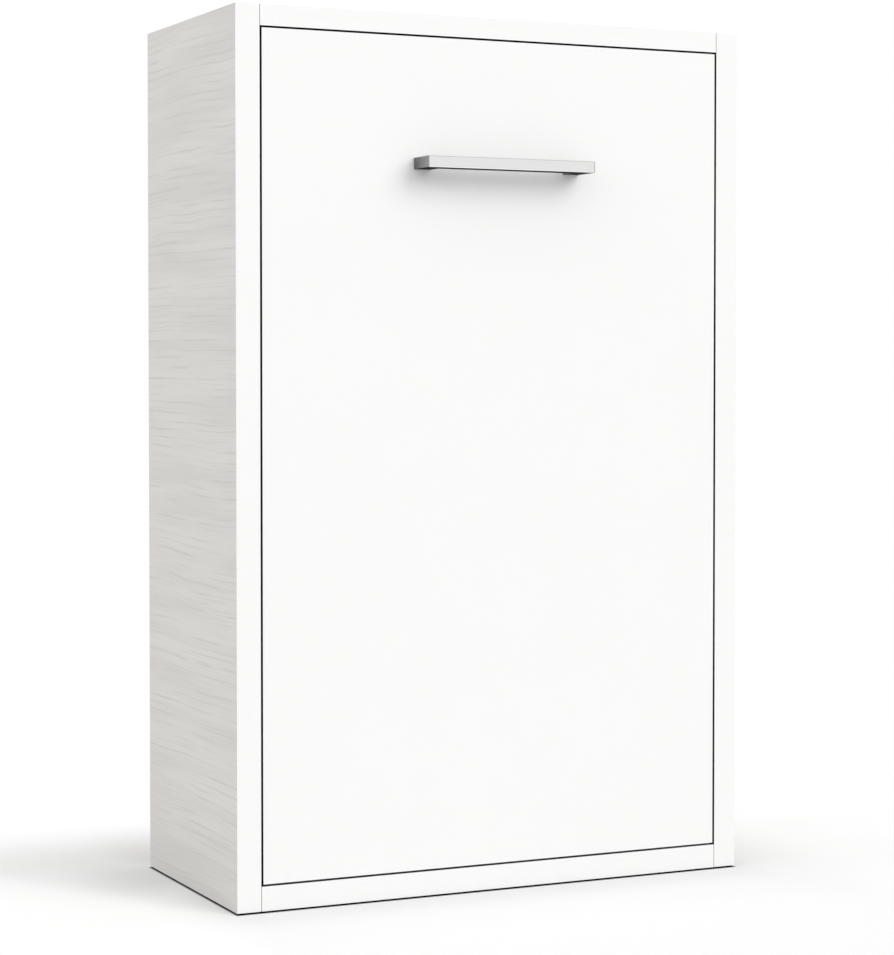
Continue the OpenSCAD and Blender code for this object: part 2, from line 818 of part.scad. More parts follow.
// Bent-rod hoops under the mattress's lower end, which carry it while the bed is closed
retainer_x = 300;
retainer_w = 160;
retainer_bend = 20;
module mattress_retainers() {
    half_w = retainer_w / 2;
    straight = retainer_reach - retainer_bend;
    rod_z = mattress_low_z - rest_gap - retainer_r;
    color(steel_grey) both_sides() translate([retainer_x, frame_y, rod_z]) {
        both_sides() {
            translate([half_w, 0, 0]) rotate([-90, 0, 0]) cylinder(r = retainer_r, h = straight);
            translate([half_w - retainer_bend, straight, 0])
                rotate_extrude(angle = 90) translate([retainer_bend, 0]) circle(retainer_r);
        }
        pin_x(retainer_bend - half_w, retainer_reach, 0, retainer_r, retainer_w - 2 * retainer_bend);
    }
}

// Webbing straps over the mattress, their ends against the side rails
strap_zs = [mattress_low_z + strap_inset, mattress_top_z - strap_inset];
strap_in_x = rail_out_x + rest_gap;
strap_over_y = mattress_back_y + rest_gap;
strap_end_inset = 4;  // strap's ends behind the front panel
module bedding_straps() {
    low_y = front_back_y + strap_end_inset;
    color(black) for (z = strap_zs)
        translate([0, 0, z - strap_w / 2]) linear_extrude(strap_w) difference() {
            translate([-strap_in_x - strap_t, low_y])
                square([2 * (strap_in_x + strap_t), strap_over_y + strap_t - low_y]);
            translate([-strap_in_x, low_y - 1]) square([2 * strap_in_x, strap_over_y - low_y + 1]);
        }
}

module strap_buckles() {
    buckle_w = 60;
    buckle_t = 5;
    rim = 6;
    color(black) for (z = strap_zs)
        translate([0, strap_over_y + strap_t, z]) rotate([-90, 0, 0]) linear_extrude(buckle_t)
            difference() {
                rounded_rect(buckle_w, strap_w + 2 * rim, rim);
                for (sx = [-1, 1]) translate([sx * (buckle_w / 4 - 1), 0])
                    square([buckle_w / 2 - 1.5 * rim, strap_w], center = true);
            }
}

// Gas springs. Their own Z axis runs up from the lower stud to the upper one, and they are drawn
// from the upper stud down.
module at_spring() {
    translate([spring_x, spring_top_y, spring_top_z]) rotate([-spring_lean, 0, 0]) children();
}

module spring_eye(z, neck_z) {
    difference() {
        union() {
            pin_x(-eye_w / 2, 0, z, eye_r, eye_w);
            translate([0, 0, min(z, neck_z)]) cylinder(r = neck_r, h = abs(z - neck_z));
        }
        pin_x(-eye_w, 0, z, stud_r + run_gap, 2 * eye_w);
    }
}

module gas_cylinder() {
    bore_r = spring_tube_r - spring_wall;
    tube_low = -eye_neck - spring_tube_l;
    guide_z = tube_low + guide_l;
    ease = 2;
    crimp = spring_wall / 2;
    at_spring() difference() {
        rotate_extrude() polygon([
            [0, tube_low], [spring_tube_r - ease, tube_low], [spring_tube_r, tube_low + ease],
            [spring_tube_r, guide_z - ease], [spring_tube_r - crimp, guide_z],
            [spring_tube_r, guide_z + ease], [spring_tube_r, -eye_neck - 2 * ease],
            [spring_tube_r - ease, -eye_neck], [0, -eye_neck]]);
        translate([0, 0, tube_low + guide_l]) cylinder(r = bore_r, h = spring_tube_l - 2 * guide_l);
        translate([0, 0, tube_low - 1]) cylinder(r = spring_rod_r + run_gap, h = guide_l + 2);
    }
}

module gas_rod() {
    piston_low = -eye_neck - spring_tube_l + guide_l + piston_margin;
    rod_low = -spring_rest_l + eye_neck;
    at_spring() {
        translate([0, 0, rod_low]) cylinder(r = spring_rod_r, h = piston_low - rod_low + 1);
        translate([0, 0, piston_low])
            cylinder(r = spring_tube_r - spring_wall - 0.1, h = piston_l);
    }
}

module cylinder_eye() { at_spring() spring_eye(0, -eye_neck); }
module rod_eye() { at_spring() spring_eye(-spring_rest_l, -spring_rest_l + eye_neck); }

module rod_stud() {
    far_x = spring_x + eye_w / 2 + side_gap;
    eye_stud(pivot_y, stud_low_z, lever_out_x + rest_gap, far_x + stud_flange_t);
}

module gas_cylinder_right() { color(black) gas_cylinder(); }
module cylinder_eye_right() { color(zinc) cylinder_eye(); }
module gas_rod_right() { color(alu) gas_rod(); }
module rod_eye_right() { color(zinc) rod_eye(); }
module rod_stud_right() { color(zinc) rod_stud(); }
module gas_cylinder_left() { color(black) mirror([1, 0, 0]) gas_cylinder(); }
module cylinder_eye_left() { color(zinc) mirror([1, 0, 0]) cylinder_eye(); }
module gas_rod_left() { color(alu) mirror([1, 0, 0]) gas_rod(); }
module rod_eye_left() { color(zinc) mirror([1, 0, 0]) rod_eye(); }
module rod_stud_left() { color(zinc) mirror([1, 0, 0]) rod_stud(); }

side_panel_left();
side_panel_right();
side_edging();
top_panel();
bottom_rail();
headboard_panel();
head_shelf();
back_panel_upper();
back_panel_lower();
back_joint_strip();
rear_rail_top();
rear_rail_bottom();
wall_brackets();
cam_locks();
cam_bolts();
floor_glides();
stop_blocks();
closing_buffers();
pivot_plates();
spring_brackets();
cabinet_screws();
front_panel();
handle();
handle_screws();
side_rail_left();
side_rail_right();
head_rail();
foot_rail();
cross_rails();
slat_holders();
lever_plates();
pivot_bushes();
lever_bolts();
panel_brackets();
panel_screws();
mattress();
mattress_retainers();
bedding_straps();
strap_buckles();
for (i = [1:SLATS]) slat(i);
gas_cylinder_left();
cylinder_eye_left();
gas_rod_left();
rod_eye_left();
rod_stud_left();
gas_cylinder_right();
cylinder_eye_right();
gas_rod_right();
rod_eye_right();
rod_stud_right();
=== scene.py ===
"""Looks of a vertical wall bed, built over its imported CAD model.

The sections follow the bed as it is put together: the cabinet's boards, its back, the fittings
inside, the front panel with its handle, the steel frame, the slats, the mattress with its straps,
and the two gas springs. Lengths are metres, and the model stands closed, as it was packed.
"""
import math

import bmesh
import bpy
import numpy as np
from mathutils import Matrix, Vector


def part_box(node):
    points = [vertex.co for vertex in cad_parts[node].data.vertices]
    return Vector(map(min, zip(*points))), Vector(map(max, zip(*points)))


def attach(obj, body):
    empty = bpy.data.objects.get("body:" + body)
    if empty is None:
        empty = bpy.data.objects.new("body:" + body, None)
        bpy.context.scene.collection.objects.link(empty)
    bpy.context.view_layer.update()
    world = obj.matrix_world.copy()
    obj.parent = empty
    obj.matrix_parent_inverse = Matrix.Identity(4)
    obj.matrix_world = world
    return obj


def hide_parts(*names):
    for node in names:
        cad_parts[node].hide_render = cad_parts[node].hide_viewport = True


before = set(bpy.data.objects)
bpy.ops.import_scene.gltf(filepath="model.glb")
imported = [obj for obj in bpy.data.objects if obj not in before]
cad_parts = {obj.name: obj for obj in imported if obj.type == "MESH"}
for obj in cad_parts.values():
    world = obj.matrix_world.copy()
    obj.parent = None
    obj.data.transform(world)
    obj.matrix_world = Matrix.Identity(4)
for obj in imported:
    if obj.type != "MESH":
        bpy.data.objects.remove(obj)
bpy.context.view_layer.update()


# Camera
# It stands in front of the bed and to its left, at about eye height, and looks almost level. The
# small shift frames the bed as the photograph does, with its uprights kept upright.
image_h = 955
focal_px = 2555.0
shift_px = (-7.9, -41.6)
sensor = 36.0
camera_place = (-2.8353, -6.0059, 1.3269)
camera_turn = math.radians(25.392)
camera_dip = math.radians(1.656)

camera_data = bpy.data.cameras.new("camera")
camera_data.sensor_fit = "VERTICAL"
camera_data.sensor_height = sensor
camera_data.lens = sensor * focal_px / image_h
camera_data.shift_x = shift_px[0] / image_h
camera_data.shift_y = shift_px[1] / image_h
camera_data.clip_end = 100
camera = bpy.data.objects.new("camera", camera_data)
camera.location = camera_place
camera.rotation_euler = (math.pi / 2 - camera_dip, 0, -camera_turn)
bpy.context.scene.collection.objects.link(camera)
bpy.context.scene.camera = camera
bpy.context.scene.view_settings.view_transform = "Standard"


# Floor, backdrop and light
# A pale floor, a soft key light from the front right, a soft fill from the left and an even sky. The
# camera, metal and glass see the floor's far part and the sky as white.
class Wire:
    """One shader output of a finish. Arithmetic on wires adds Math nodes."""

    def __init__(self, finish, socket):
        self.finish = finish
        self.socket = socket

    def math(self, operation, *values):
        return self.finish.node("Math", {"operation": operation}, dict(enumerate(values)))

    def __add__(self, other):
        return self.math("ADD", self, other)

    def __radd__(self, other):
        return self.math("ADD", other, self)

    def __sub__(self, other):
        return self.math("SUBTRACT", self, other)

    def __rsub__(self, other):
        return self.math("SUBTRACT", other, self)

    def __mul__(self, other):
        return self.math("MULTIPLY", self, other)

    def __rmul__(self, other):
        return self.math("MULTIPLY", other, self)

    def __truediv__(self, other):
        return self.math("DIVIDE", self, other)

    def __abs__(self):
        return self.math("ABSOLUTE", self)

    def sin(self):
        return self.math("SINE", self)

    def fract(self):
        return self.math("FRACT", self)

    def larger(self, other):
        return self.math("MAXIMUM", self, other)

    def rise(self, low, high):
        """0 below low and 1 above high, with a smooth step between. A high under low falls."""
        sockets = {"Value": self, "From Min": low, "From Max": high}
        return self.finish.node("MapRange", {"interpolation_type": "SMOOTHSTEP"}, sockets)


class Finish:
    """A procedural material of one principled shader, worked out from object coordinates."""

    def __init__(self, name, **constants):
        self.material = bpy.data.materials.new(name)
        self.material.use_nodes = True
        self.tree = self.material.node_tree
        self.shader = self.tree.nodes["Principled BSDF"]
        self.coordinates = self.tree.nodes.new("ShaderNodeTexCoord")
        self.place = Wire(self, self.coordinates.outputs["Object"])
        self.x, self.y, self.z = self.parts(self.place)
        self.give(**constants)

    def node(self, kind, settings=None, sockets=None, output=0):
        """Adds a node: its settings first, then the values or links of its sockets."""
        node = self.tree.nodes.new("ShaderNode" + kind)
        for key, value in (settings or {}).items():
            setattr(node, key, value)
        for key, value in (sockets or {}).items():
            self.plug(node.inputs[key], value)
        return Wire(self, node.outputs[output])

    def plug(self, socket, value):
        if isinstance(value, Wire):
            self.tree.links.new(value.socket, socket)
        elif isinstance(value, tuple) and len(value) == 3 and socket.type == "RGBA":
            socket.default_value = (*value, 1)
        else:
            socket.default_value = value

    def give(self, **values):
        """Sets the shader's sockets. A keyword's underscores stand for the name's spaces."""
        for key, value in values.items():
            self.plug(self.shader.inputs[key.replace("_", " ")], value)

    def parts(self, vector):
        """The x, y and z of a vector, as three wires."""
        split = self.node("SeparateXYZ", sockets={0: vector}).socket.node
        return [Wire(self, split.outputs[i]) for i in range(3)]

    def vector(self, x, y, z):
        return self.node("CombineXYZ", sockets={0: x, 1: y, 2: z})

    def noise(self, where, scale=1.0, detail=2.0, roughness=0.5):
        """Noise of about 0 to 1 around 0.5."""
        sockets = {"Vector": where, "Scale": scale, "Detail": detail, "Roughness": roughness}
        return self.node("TexNoise", sockets=sockets)

    def mix(self, share, first, second):
        """The first colour where share is 0, and the second where it is 1."""
        settings = {"data_type": "RGBA"}
        return self.node("Mix", settings, {0: share, 6: first, 7: second}, output=2)

    def normal(self):
        """The surface's own direction before any bump, as three wires."""
        return self.parts(Wire(self, self.coordinates.outputs["Normal"]))

    def relief(self, height, depth):
        """Bumps the surface: height runs from 0 to 1 over depth in metres."""
        sockets = {"Strength": 1.0, "Distance": depth, "Height": height}
        self.give(Normal=self.node("Bump", sockets=sockets))


floor_half = 40.0
floor_grey = 0.78
floor_bounce = 0.62
sky_light = 0.82

# How much brighter the camera sees the floor than the lamps light it: all over, in front of the
# bed, on its right, more on its right towards the back, and on its left
floor_lift = 0.12
front_lift = 0.022
right_lift = 0.055
right_back_lift = 0.05
left_lift = 0.072

# How much painted shade darkens the floor close in front of the bed, and on its left towards the back
front_painted_shade = 0.10
left_painted_shade = 0.14

# The faces of the closed cabinet's boards, under and just round which the floor is painted black as
# shadow
cabinet_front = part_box("side_edging")[0].y
cabinet_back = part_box("side_panel_right")[1].y
bay_right, cabinet_right = (corner.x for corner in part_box("side_panel_right"))
rail_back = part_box("bottom_rail")[1].y


def white_to_the_eye(tree):
    """1 for camera, glossy and transmission rays, and 0 for the others."""
    rays = tree.nodes.new("ShaderNodeLightPath")
    total = rays.outputs["Is Camera Ray"]
    for name in ("Is Glossy Ray", "Is Transmission Ray"):
        either = tree.nodes.new("ShaderNodeMath")
        either.operation = "MAXIMUM"
        tree.links.new(total, either.inputs[0])
        tree.links.new(rays.outputs[name], either.inputs[1])
        total = either.outputs[0]
    return total


def floor_finish():
    """Pale and matt near the bed, plain white far out and behind it, and painted black as shadow under
    its boards and a few millimetres round them. For the camera it glows a little, more so where the
    closed bed's soft shadow ends, and painted shade darkens it close in front of the bed and on its
    left."""
    finish = Finish("studio_floor", Roughness=0.9, Specular_IOR_Level=0.0)
    seen = Wire(finish, white_to_the_eye(finish.tree))
    distance = finish.node("VectorMath", {"operation": "LENGTH"}, {0: finish.place}, output=1)
    far = distance.rise(1.2, 4.4).larger(finish.y.rise(0.45, 1.05))
    front = finish.y.rise(-0.44, -0.75) * front_lift
    right = finish.x.rise(0.68, 1.08) * (right_lift + right_back_lift * finish.y.rise(-0.4, 0.1))
    left = (finish.y + 1.6 * finish.x).rise(-1.20, -1.50) * finish.x.rise(-0.65, -0.9) * left_lift
    across = abs(finish.x)
    along = abs(finish.y - (cabinet_front + cabinet_back) / 2)
    half_depth = (cabinet_back - cabinet_front) / 2
    footprint = across.rise(cabinet_right - 0.0005, cabinet_right - 0.0015)
    footprint = footprint * along.rise(half_depth - 0.0005, half_depth - 0.0015)
    # Painted shadow: black under the side panels and the bottom rail, reaching a few millimetres
    # beyond them.
    shade = across.rise(cabinet_right + 0.007, cabinet_right - 0.001)
    shade = shade * along.rise(half_depth + 0.009, half_depth)
    beside = across.rise(bay_right + 0.006, bay_right + 0.008)
    painted_board_shadow = shade * beside.larger(finish.y.rise(rail_back, rail_back - 0.002))
    # Painted shade: the floor is darkened close in front of the bed and on its left towards the back.
    ahead = across.rise(0.80, 0.66) * finish.y.rise(-0.50, -0.29)
    left_shade_zone = finish.x.rise(-1.0, -0.74) * finish.x.rise(0.0, -0.5)
    left_shade_zone = left_shade_zone * finish.y.rise(-0.04, 0.2) * finish.y.rise(0.52, 0.3)
    painted_floor_shade = (front_painted_shade * ahead).larger(left_painted_shade * left_shade_zone)
    pale = finish.mix(painted_floor_shade, (floor_grey,) * 3, (0.0, 0.0, 0.0))
    pale = finish.mix(seen, (floor_bounce,) * 3, pale)
    finish.give(Base_Color=finish.mix(painted_board_shadow, pale, (0.01, 0.01, 0.01)))
    glow = seen * (1 - footprint) * (floor_lift + front.larger(right.larger(left)))
    finish.give(Emission_Color=finish.mix(glow, (0.0, 0.0, 0.0), (1.0, 1.0, 1.0)))
    finish.give(Emission_Strength=1.0)
    white = finish.node("Emission", sockets={"Color": (1.0, 1.0, 1.0), "Strength": 1.0})
    lit = Wire(finish, finish.shader.outputs[0])
    shown = finish.node("MixShader", sockets={0: far * seen, 1: lit, 2: white})
    finish.tree.links.new(shown.socket, finish.tree.nodes["Material Output"].inputs["Surface"])
    return finish.material


floor_mesh = bpy.data.meshes.new("floor")
floor_corners = np.array([(-1, -1), (1, -1), (1, 1), (-1, 1)]) * floor_half
floor_mesh.from_pydata(np.column_stack([floor_corners, np.zeros(4)]).tolist(), [], [(0, 1, 2, 3)])
floor = bpy.data.objects.new("floor", floor_mesh)
floor.data.materials.append(floor_finish())
bpy.context.scene.collection.objects.link(floor)


def sky():
    """An even sky, which the camera sees as white."""
    world = bpy.data.worlds.new("sky")
    world.use_nodes = True
    tree = world.node_tree
    background = tree.nodes["Background"]
    background.inputs["Color"].default_value = (1, 1, 1, 1)
    strength = tree.nodes.new("ShaderNodeMapRange")
    strength.inputs["To Min"].default_value = sky_light
    strength.inputs["To Max"].default_value = 1.0
    tree.links.new(white_to_the_eye(tree), strength.inputs["Value"])
    tree.links.new(strength.outputs["Result"], background.inputs["Strength"])
    return world


bpy.context.scene.world = sky()


def soft_lamp(name, power, turn, height, softness):
    """A broad, distant lamp. turn is its bearing from straight ahead, to the right, and height its
    angle above the floor, both in degrees."""
    data = bpy.data.lights.new(name, "SUN")
    data.energy = power
    data.angle = math.radians(softness)
    lamp = bpy.data.objects.new(name, data)
    lamp.visible_glossy = False
    lamp.rotation_euler = (math.radians(90 - height), 0, math.radians(turn))
    bpy.context.scene.collection.objects.link(lamp)


soft_lamp("key", 1.23, 28, 28, 40)
soft_lamp("fill", 0.72, -80, 15, 60)


# Side panels
# Two thick honeycomb boards stand on the glides. Their outer faces carry a pale ash decor whose wavy
# grain runs from front to back, and their inner faces are white, with a black painted shadow beside
# the front panel's gap.
board_ease = 0.0007


def board_copy(node, name):
    """A copy of a CAD node's mesh as one joined surface of few large faces, at its own place."""
    work = bmesh.new()
    work.from_mesh(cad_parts[node].data)
    bmesh.ops.remove_doubles(work, verts=work.verts, dist=1e-6)
    bmesh.ops.dissolve_limit(work, angle_limit=math.radians(0.5), verts=work.verts, edges=work.edges)
    mesh = bpy.data.meshes.new(name)
    work.to_mesh(mesh)
    work.free()
    mesh.materials.clear()
    mesh.shade_smooth()
    piece = bpy.data.objects.new(name, mesh)
    bpy.context.scene.collection.objects.link(piece)
    return piece


def ease_edges(piece, width, steps=2):
    """Rounds a piece's sharp edges, as sanding, moulding or rolling leaves them."""
    rounding = piece.modifiers.new("eased_edges", "BEVEL")
    rounding.width = width
    rounding.segments = steps
    rounding.limit_method = "ANGLE"
    rounding.angle_limit = math.radians(35)
    shading = piece.modifiers.new("flat_faces_first", "WEIGHTED_NORMAL")
    shading.weight = 100
    shading.keep_sharp = True
    return piece


def stands_for(piece, node, body, material):
    """The piece takes a CAD node's place on its body, with its finish."""
    piece.data.materials.append(material)
    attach(piece, body)
    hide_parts(node)


def eased_node(node, name, body, material, width=board_ease, steps=2):
    """A CAD node again, with eased edges and a finish."""
    piece = ease_edges(board_copy(node, name), width, steps)
    stands_for(piece, node, body, material)
    return piece


laminate_white = (0.885, 0.885, 0.88)

# Painted shadow in the gap round the front panel: the faces that line it are black, standing in for
# the gap's shade
gap_shadow_black = (0.012, 0.012, 0.013)
gap_shadow_back = -0.258


def laminate_tint(finish):
    """White melamine's faintly mottled colour, and the noise that mottles it."""
    cloud = finish.noise(finish.place, 3.5, 3)
    return finish.mix(cloud, laminate_white, tuple(c * 0.985 for c in laminate_white)), cloud


def white_laminate(name="white_laminate", dark_joints_and_shadow=None):
    """Satin white melamine board, with the fine print of its pressing plate. Its optional argument is
    a function of the finish that gives the share of black, for dark joints and for painted shadow in
    the front panel's gap."""
    finish = Finish(name)
    colour, cloud = laminate_tint(finish)
    if dark_joints_and_shadow:
        colour = finish.mix(dark_joints_and_shadow(finish), colour, gap_shadow_black)
    finish.give(Base_Color=colour, Roughness=0.38 + 0.06 * cloud)
    finish.relief(finish.noise(finish.place, 1400, 1), 0.00001)
    return finish.material


def ash_decor():
    """Pale ash print on the outer face, over the white board. Noise bends the levels that the grain
    follows from front to back. Veins are the crests of a sine of the level, unevenly spaced by more
    noise, and threads and pores are noise drawn out along the level."""
    finish = Finish("ash_decor")
    x, y, z = finish.x, finish.y, finish.z
    sway = finish.noise(finish.vector(x, y * 1.9, z * 1.4), 1, 1)
    wave = finish.noise(finish.vector(x + 2, y * 5, z * 5), 1, 2)
    tremble = finish.noise(finish.vector(x + 1, y * 24, z * 40), 1, 1)
    level = z + 0.035 * sway + 0.007 * wave + 0.0022 * tremble
    band = finish.noise(finish.vector(x + 4, y * 1.4, level * 16), 1, 2)
    spread = finish.noise(finish.vector(x + 3, y * 0.6, level * 22), 1, 1)
    crest = (level * 280 + spread * 9).sin().rise(0.62, 1.0)
    strength = finish.noise(finish.vector(x + 6, y * 4.5, level * 30), 1, 2).rise(0.40, 0.66)
    vein = crest * strength
    thread = finish.noise(finish.vector(x + 9, y * 3.2, level * 240), 1, 2, 0.5)
    pore = finish.noise(finish.vector(x + 7, y * 14, level * 700), 1, 2, 0.6)
    pale = (0.708, 0.696, 0.668)
    grey = (0.585, 0.572, 0.540)
    ground = finish.mix(band.rise(0.35, 0.70), pale, tuple(0.925 * c for c in pale))
    warm = finish.noise(finish.vector(x + 5, y * 2.5, z * 11), 1, 1).rise(0.48, 0.66)
    ground = finish.mix(warm * y.rise(0.20, 0.33) * 0.7, ground, (0.700, 0.668, 0.640))
    veined = finish.mix(vein * 0.80, ground, grey)
    veined = finish.mix(thread.rise(0.52, 0.72) * 0.48, veined, grey)
    fine = finish.mix(pore.rise(0.60, 0.74) * 0.16, veined, grey)
    outside = abs(x).rise(cabinet_right - 0.0010, cabinet_right - 0.0006)
    white, _ = laminate_tint(finish)
    # Painted shadow: black on the inner face beside the front panel's gap.
    inner_gap_shadow = abs(x).rise(bay_right + 0.0006, bay_right + 0.0004)
    inner_gap_shadow = inner_gap_shadow * y.rise(gap_shadow_back, gap_shadow_back - 0.0005)
    inside = finish.mix(inner_gap_shadow, white, gap_shadow_black)
    finish.give(Base_Color=finish.mix(outside, inside, fine), Roughness=0.46 + 0.1 * pore)
    finish.relief(outside * pore * 0.6 + (1 - outside) * 0.3, 0.00012)
    return finish.material


ash_and_white = ash_decor()
white_board = white_laminate()
for side in ("left", "right"):
    eased_node(f"side_panel_{side}", f"ash_side_{side}", "cabinet", ash_and_white)


def inner_joint(finish):
    """The glue joint's dark line where an edging meets the board beside it."""
    return abs(finish.x).rise(bay_right + 0.0007, bay_right + 0.0005)


eased_node("side_edging", "front_edging", "cabinet",
           white_laminate("white_edging", inner_joint), 0.0004)


# Top panel and bottom rail
# Both are white melamine boards between the side panels, flush with the cabinet's front edges. Dark
# joints show at their ends, and a black painted shadow faces the front panel's gap.
gap_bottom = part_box("bottom_rail")[1].z
gap_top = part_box("top_panel")[0].z


def joints_and_gap_shadow(finish):
    """Black on a board's end joints, and a black painted shadow where it faces the gap, at the top or
    the bottom.
    """
    joint = abs(finish.x).rise(bay_right - 0.0008, bay_right - 0.0005)
    joint = joint * finish.y.rise(cabinet_front + 0.011, cabinet_front + 0.009)
    # Painted shadow: black where the board faces the front panel's gap.
    above = finish.z.rise(gap_top + 0.0004, gap_top + 0.0002) * finish.z.rise(2.0, 2.1)
    below = finish.z.rise(gap_bottom - 0.0004, gap_bottom - 0.0002) * finish.z.rise(0.2, 0.1)
    painted_gap_shade = above.larger(below) * finish.y.rise(gap_shadow_back, gap_shadow_back - 0.001)
    return joint.larger(painted_gap_shade * finish.y.rise(cabinet_front + 0.0006, cabinet_front + 0.0010))


frame_board = white_laminate("white_frame_board", joints_and_gap_shadow)
eased_node("top_panel", "top_board", "cabinet", frame_board)
eased_node("bottom_rail", "plinth_board", "cabinet", frame_board)


# Headboard, shelf and rear rails
# White boards between the side panels: a headboard and a shelf behind the bed, and two rails along
# the back, bored for the wall fixings.
for node, name in (("headboard_panel", "head_board"), ("head_shelf", "shelf_board"),
                   ("rear_rail_top", "upper_wall_rail"), ("rear_rail_bottom", "lower_wall_rail")):
    eased_node(node, name, "cabinet", white_board)
eased_node("stop_blocks", "stop_blocks_eased", "cabinet", white_board, 0.0012)


# Back panels
# Two sheets of hardboard in the grooves, white inside, and brown behind with the mesh print of the
# press. A plastic strip joins them.
def hardboard():
    """Lacquered white on the front face. Behind, brown fibre with a fine woven print."""
    finish = Finish("hardboard")
    toward_back = finish.normal()[1].rise(0.2, 0.6)
    weave = (finish.x * 2400).sin() * (finish.z * 2400).sin()
    fibre = finish.noise(finish.vector(finish.x * 90, finish.y, finish.z * 60), 1, 4, 0.7)
    brown = finish.mix(fibre, (0.30, 0.185, 0.10), (0.44, 0.30, 0.18))
    brown = finish.mix(weave.rise(-0.2, 0.9) * 0.35, brown, (0.22, 0.13, 0.07))
    finish.give(Base_Color=finish.mix(toward_back, laminate_white, brown))
    finish.give(Roughness=0.42 + 0.4 * toward_back)
    finish.relief(toward_back * weave, 0.00015)
    return finish.material


def repaint(material, *nodes):
    """Gives CAD nodes whose shapes stay a new finish."""
    for node in nodes:
        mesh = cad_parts[node].data
        for index in range(max(1, len(mesh.materials))):
            if index < len(mesh.materials):
                mesh.materials[index] = material
            else:
                mesh.materials.append(material)


repaint(hardboard(), "back_panel_upper", "back_panel_lower")
repaint(white_board, "back_joint_strip")


# Cabinet fittings
# Zinc-plated steel: cam locks and their bolts, wall brackets, pivot plates with welded pins, the
# gas springs' upper brackets, and the screws.
recess_half_w = 0.0005
recess_half_l = 0.002


def zinc_plate(name, recess=False):
    """Zinc plating: a bright grey metal of faintly different small crystals, with a blue cast. A
    screw's recess is a cross at the middle of its head, bumped in and darkened with painted shade."""
    finish = Finish(name, Metallic=1.0)
    cells = finish.node("TexVoronoi", sockets={"Vector": finish.place, "Scale": 260.0}, output=1)
    tone = finish.parts(cells)[0]
    cloud = finish.noise(finish.place, 40, 3)
    colour = finish.mix(tone * 0.5 + cloud * 0.5, (0.56, 0.58, 0.61), (0.74, 0.74, 0.72))
    finish.give(Roughness=0.26 + 0.16 * cloud + 0.06 * tone)
    height = finish.noise(finish.place, 900, 2) * 0.02
    if recess:
        across = finish.node("Attribute", {"attribute_name": "across"}, output=1)
        u, v = (abs(part) for part in finish.parts(across)[:2])
        slim = (1.1 * recess_half_w, 0.9 * recess_half_w)
        long = (1.05 * recess_half_l, 0.95 * recess_half_l)
        cross = (u.rise(*slim) * v.rise(*long)).larger(v.rise(*slim) * u.rise(*long))
        # Painted shade: the recess is darkened as well as bumped in.
        colour = finish.mix(cross, colour, (0.05, 0.05, 0.055))
        height = height - cross
    finish.give(Base_Color=colour)
    finish.relief(height, 0.0010)
    return finish.material


def mark_across(mesh):
    """Stores each point's place across its own screw's axis, in metres from its middle. Points that
    share edges are one screw, and its axis is the way in which its box differs from the others."""
    points = np.zeros(len(mesh.vertices) * 3)
    mesh.vertices.foreach_get("co", points)
    points = points.reshape(-1, 3)
    edges = np.zeros(len(mesh.edges) * 2, int)
    mesh.edges.foreach_get("vertices", edges)
    first, second = edges.reshape(-1, 2).T
    label = np.arange(len(points))
    settled = False
    while not settled:
        lower = label.copy()
        np.minimum.at(lower, first, label[second])
        np.minimum.at(lower, second, label[first])
        settled = (lower == label).all()
        label = lower
    low = points.copy()
    high = points.copy()
    np.minimum.at(low, label, points)
    np.maximum.at(high, label, points)
    low = low[label]
    high = high[label]
    span = high - low
    axis = np.argmax(abs(span - np.median(span, axis=1, keepdims=True)), axis=1)
    local = points - (low + high) / 2
    rows = np.arange(len(points))
    across = np.stack([local[rows, (axis + 1) % 3], local[rows, (axis + 2) % 3], 0.0 * axis], -1)
    mesh.attributes.new("across", "FLOAT_VECTOR", "POINT").data.foreach_set("vector", across.ravel())


def crossed_screws(node, name, body):
    """A CAD node's screws again, with a bumped recess of painted shade in each head."""
    piece = board_copy(node, name)
    mark_across(piece.data)
    ease_edges(piece, 0.0003, 2)
    stands_for(piece, node, body, zinc_screws)


zinc = zinc_plate("zinc_plate")
zinc_screws = zinc_plate("zinc_screws", recess=True)
for node, name in (("wall_brackets", "rolled_wall_brackets"), ("pivot_plates", "rolled_pivot_plates"),
                   ("spring_brackets", "rolled_spring_brackets")):
    eased_node(node, name, "cabinet", zinc, 0.0005)
repaint(zinc, "cam_locks", "cam_bolts")
crossed_screws("cabinet_screws", "crossed_cabinet_screws", "cabinet")


# Glides and buffers
# Moulded black plastic glides under the side panels, and soft rubber buffers on the stop blocks.
def moulded_plastic(name, shade, roughness):
    """Black plastic with the fine spark-eroded grain of its mould."""
    finish = Finish(name)
    grain = finish.noise(finish.place, 1100, 3, 0.6)
    cloud = finish.noise(finish.place, 25, 2)
    dark = tuple(shade * c for c in (1.0, 1.0, 1.04))
    finish.give(Base_Color=finish.mix(cloud, dark, tuple(1.35 * c for c in dark)))
    finish.give(Roughness=roughness + 0.12 * grain)
    finish.relief(grain, 0.00006)
    return finish.material


black_plastic = moulded_plastic("black_plastic", 0.018, 0.42)
rubber = moulded_plastic("buffer_rubber", 0.012, 0.72)
repaint(black_plastic, "floor_glides")
repaint(rubber, "closing_buffers")


# Front panel
# One white board fills the cabinet's front inside its gap, and is screwed to the steel frame. Its
# edges are painted black, standing in for the gap's shadow.
door_front, door_back = (corner.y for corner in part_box("front_panel"))


def door_edge_shadow(finish):
    """Painted shadow: black on the door's four narrow edges, between the roundings of its two faces.
    """
    edge = abs(finish.normal()[1]).rise(0.35, 0.15)
    edge = edge * finish.y.rise(door_front + 0.0007, door_front + 0.0010)
    return edge * finish.y.rise(door_back - 0.0002, door_back - 0.0005)


door_white = white_laminate("door_white", door_edge_shadow)
eased_node("front_panel", "door_board", "bed", door_white)


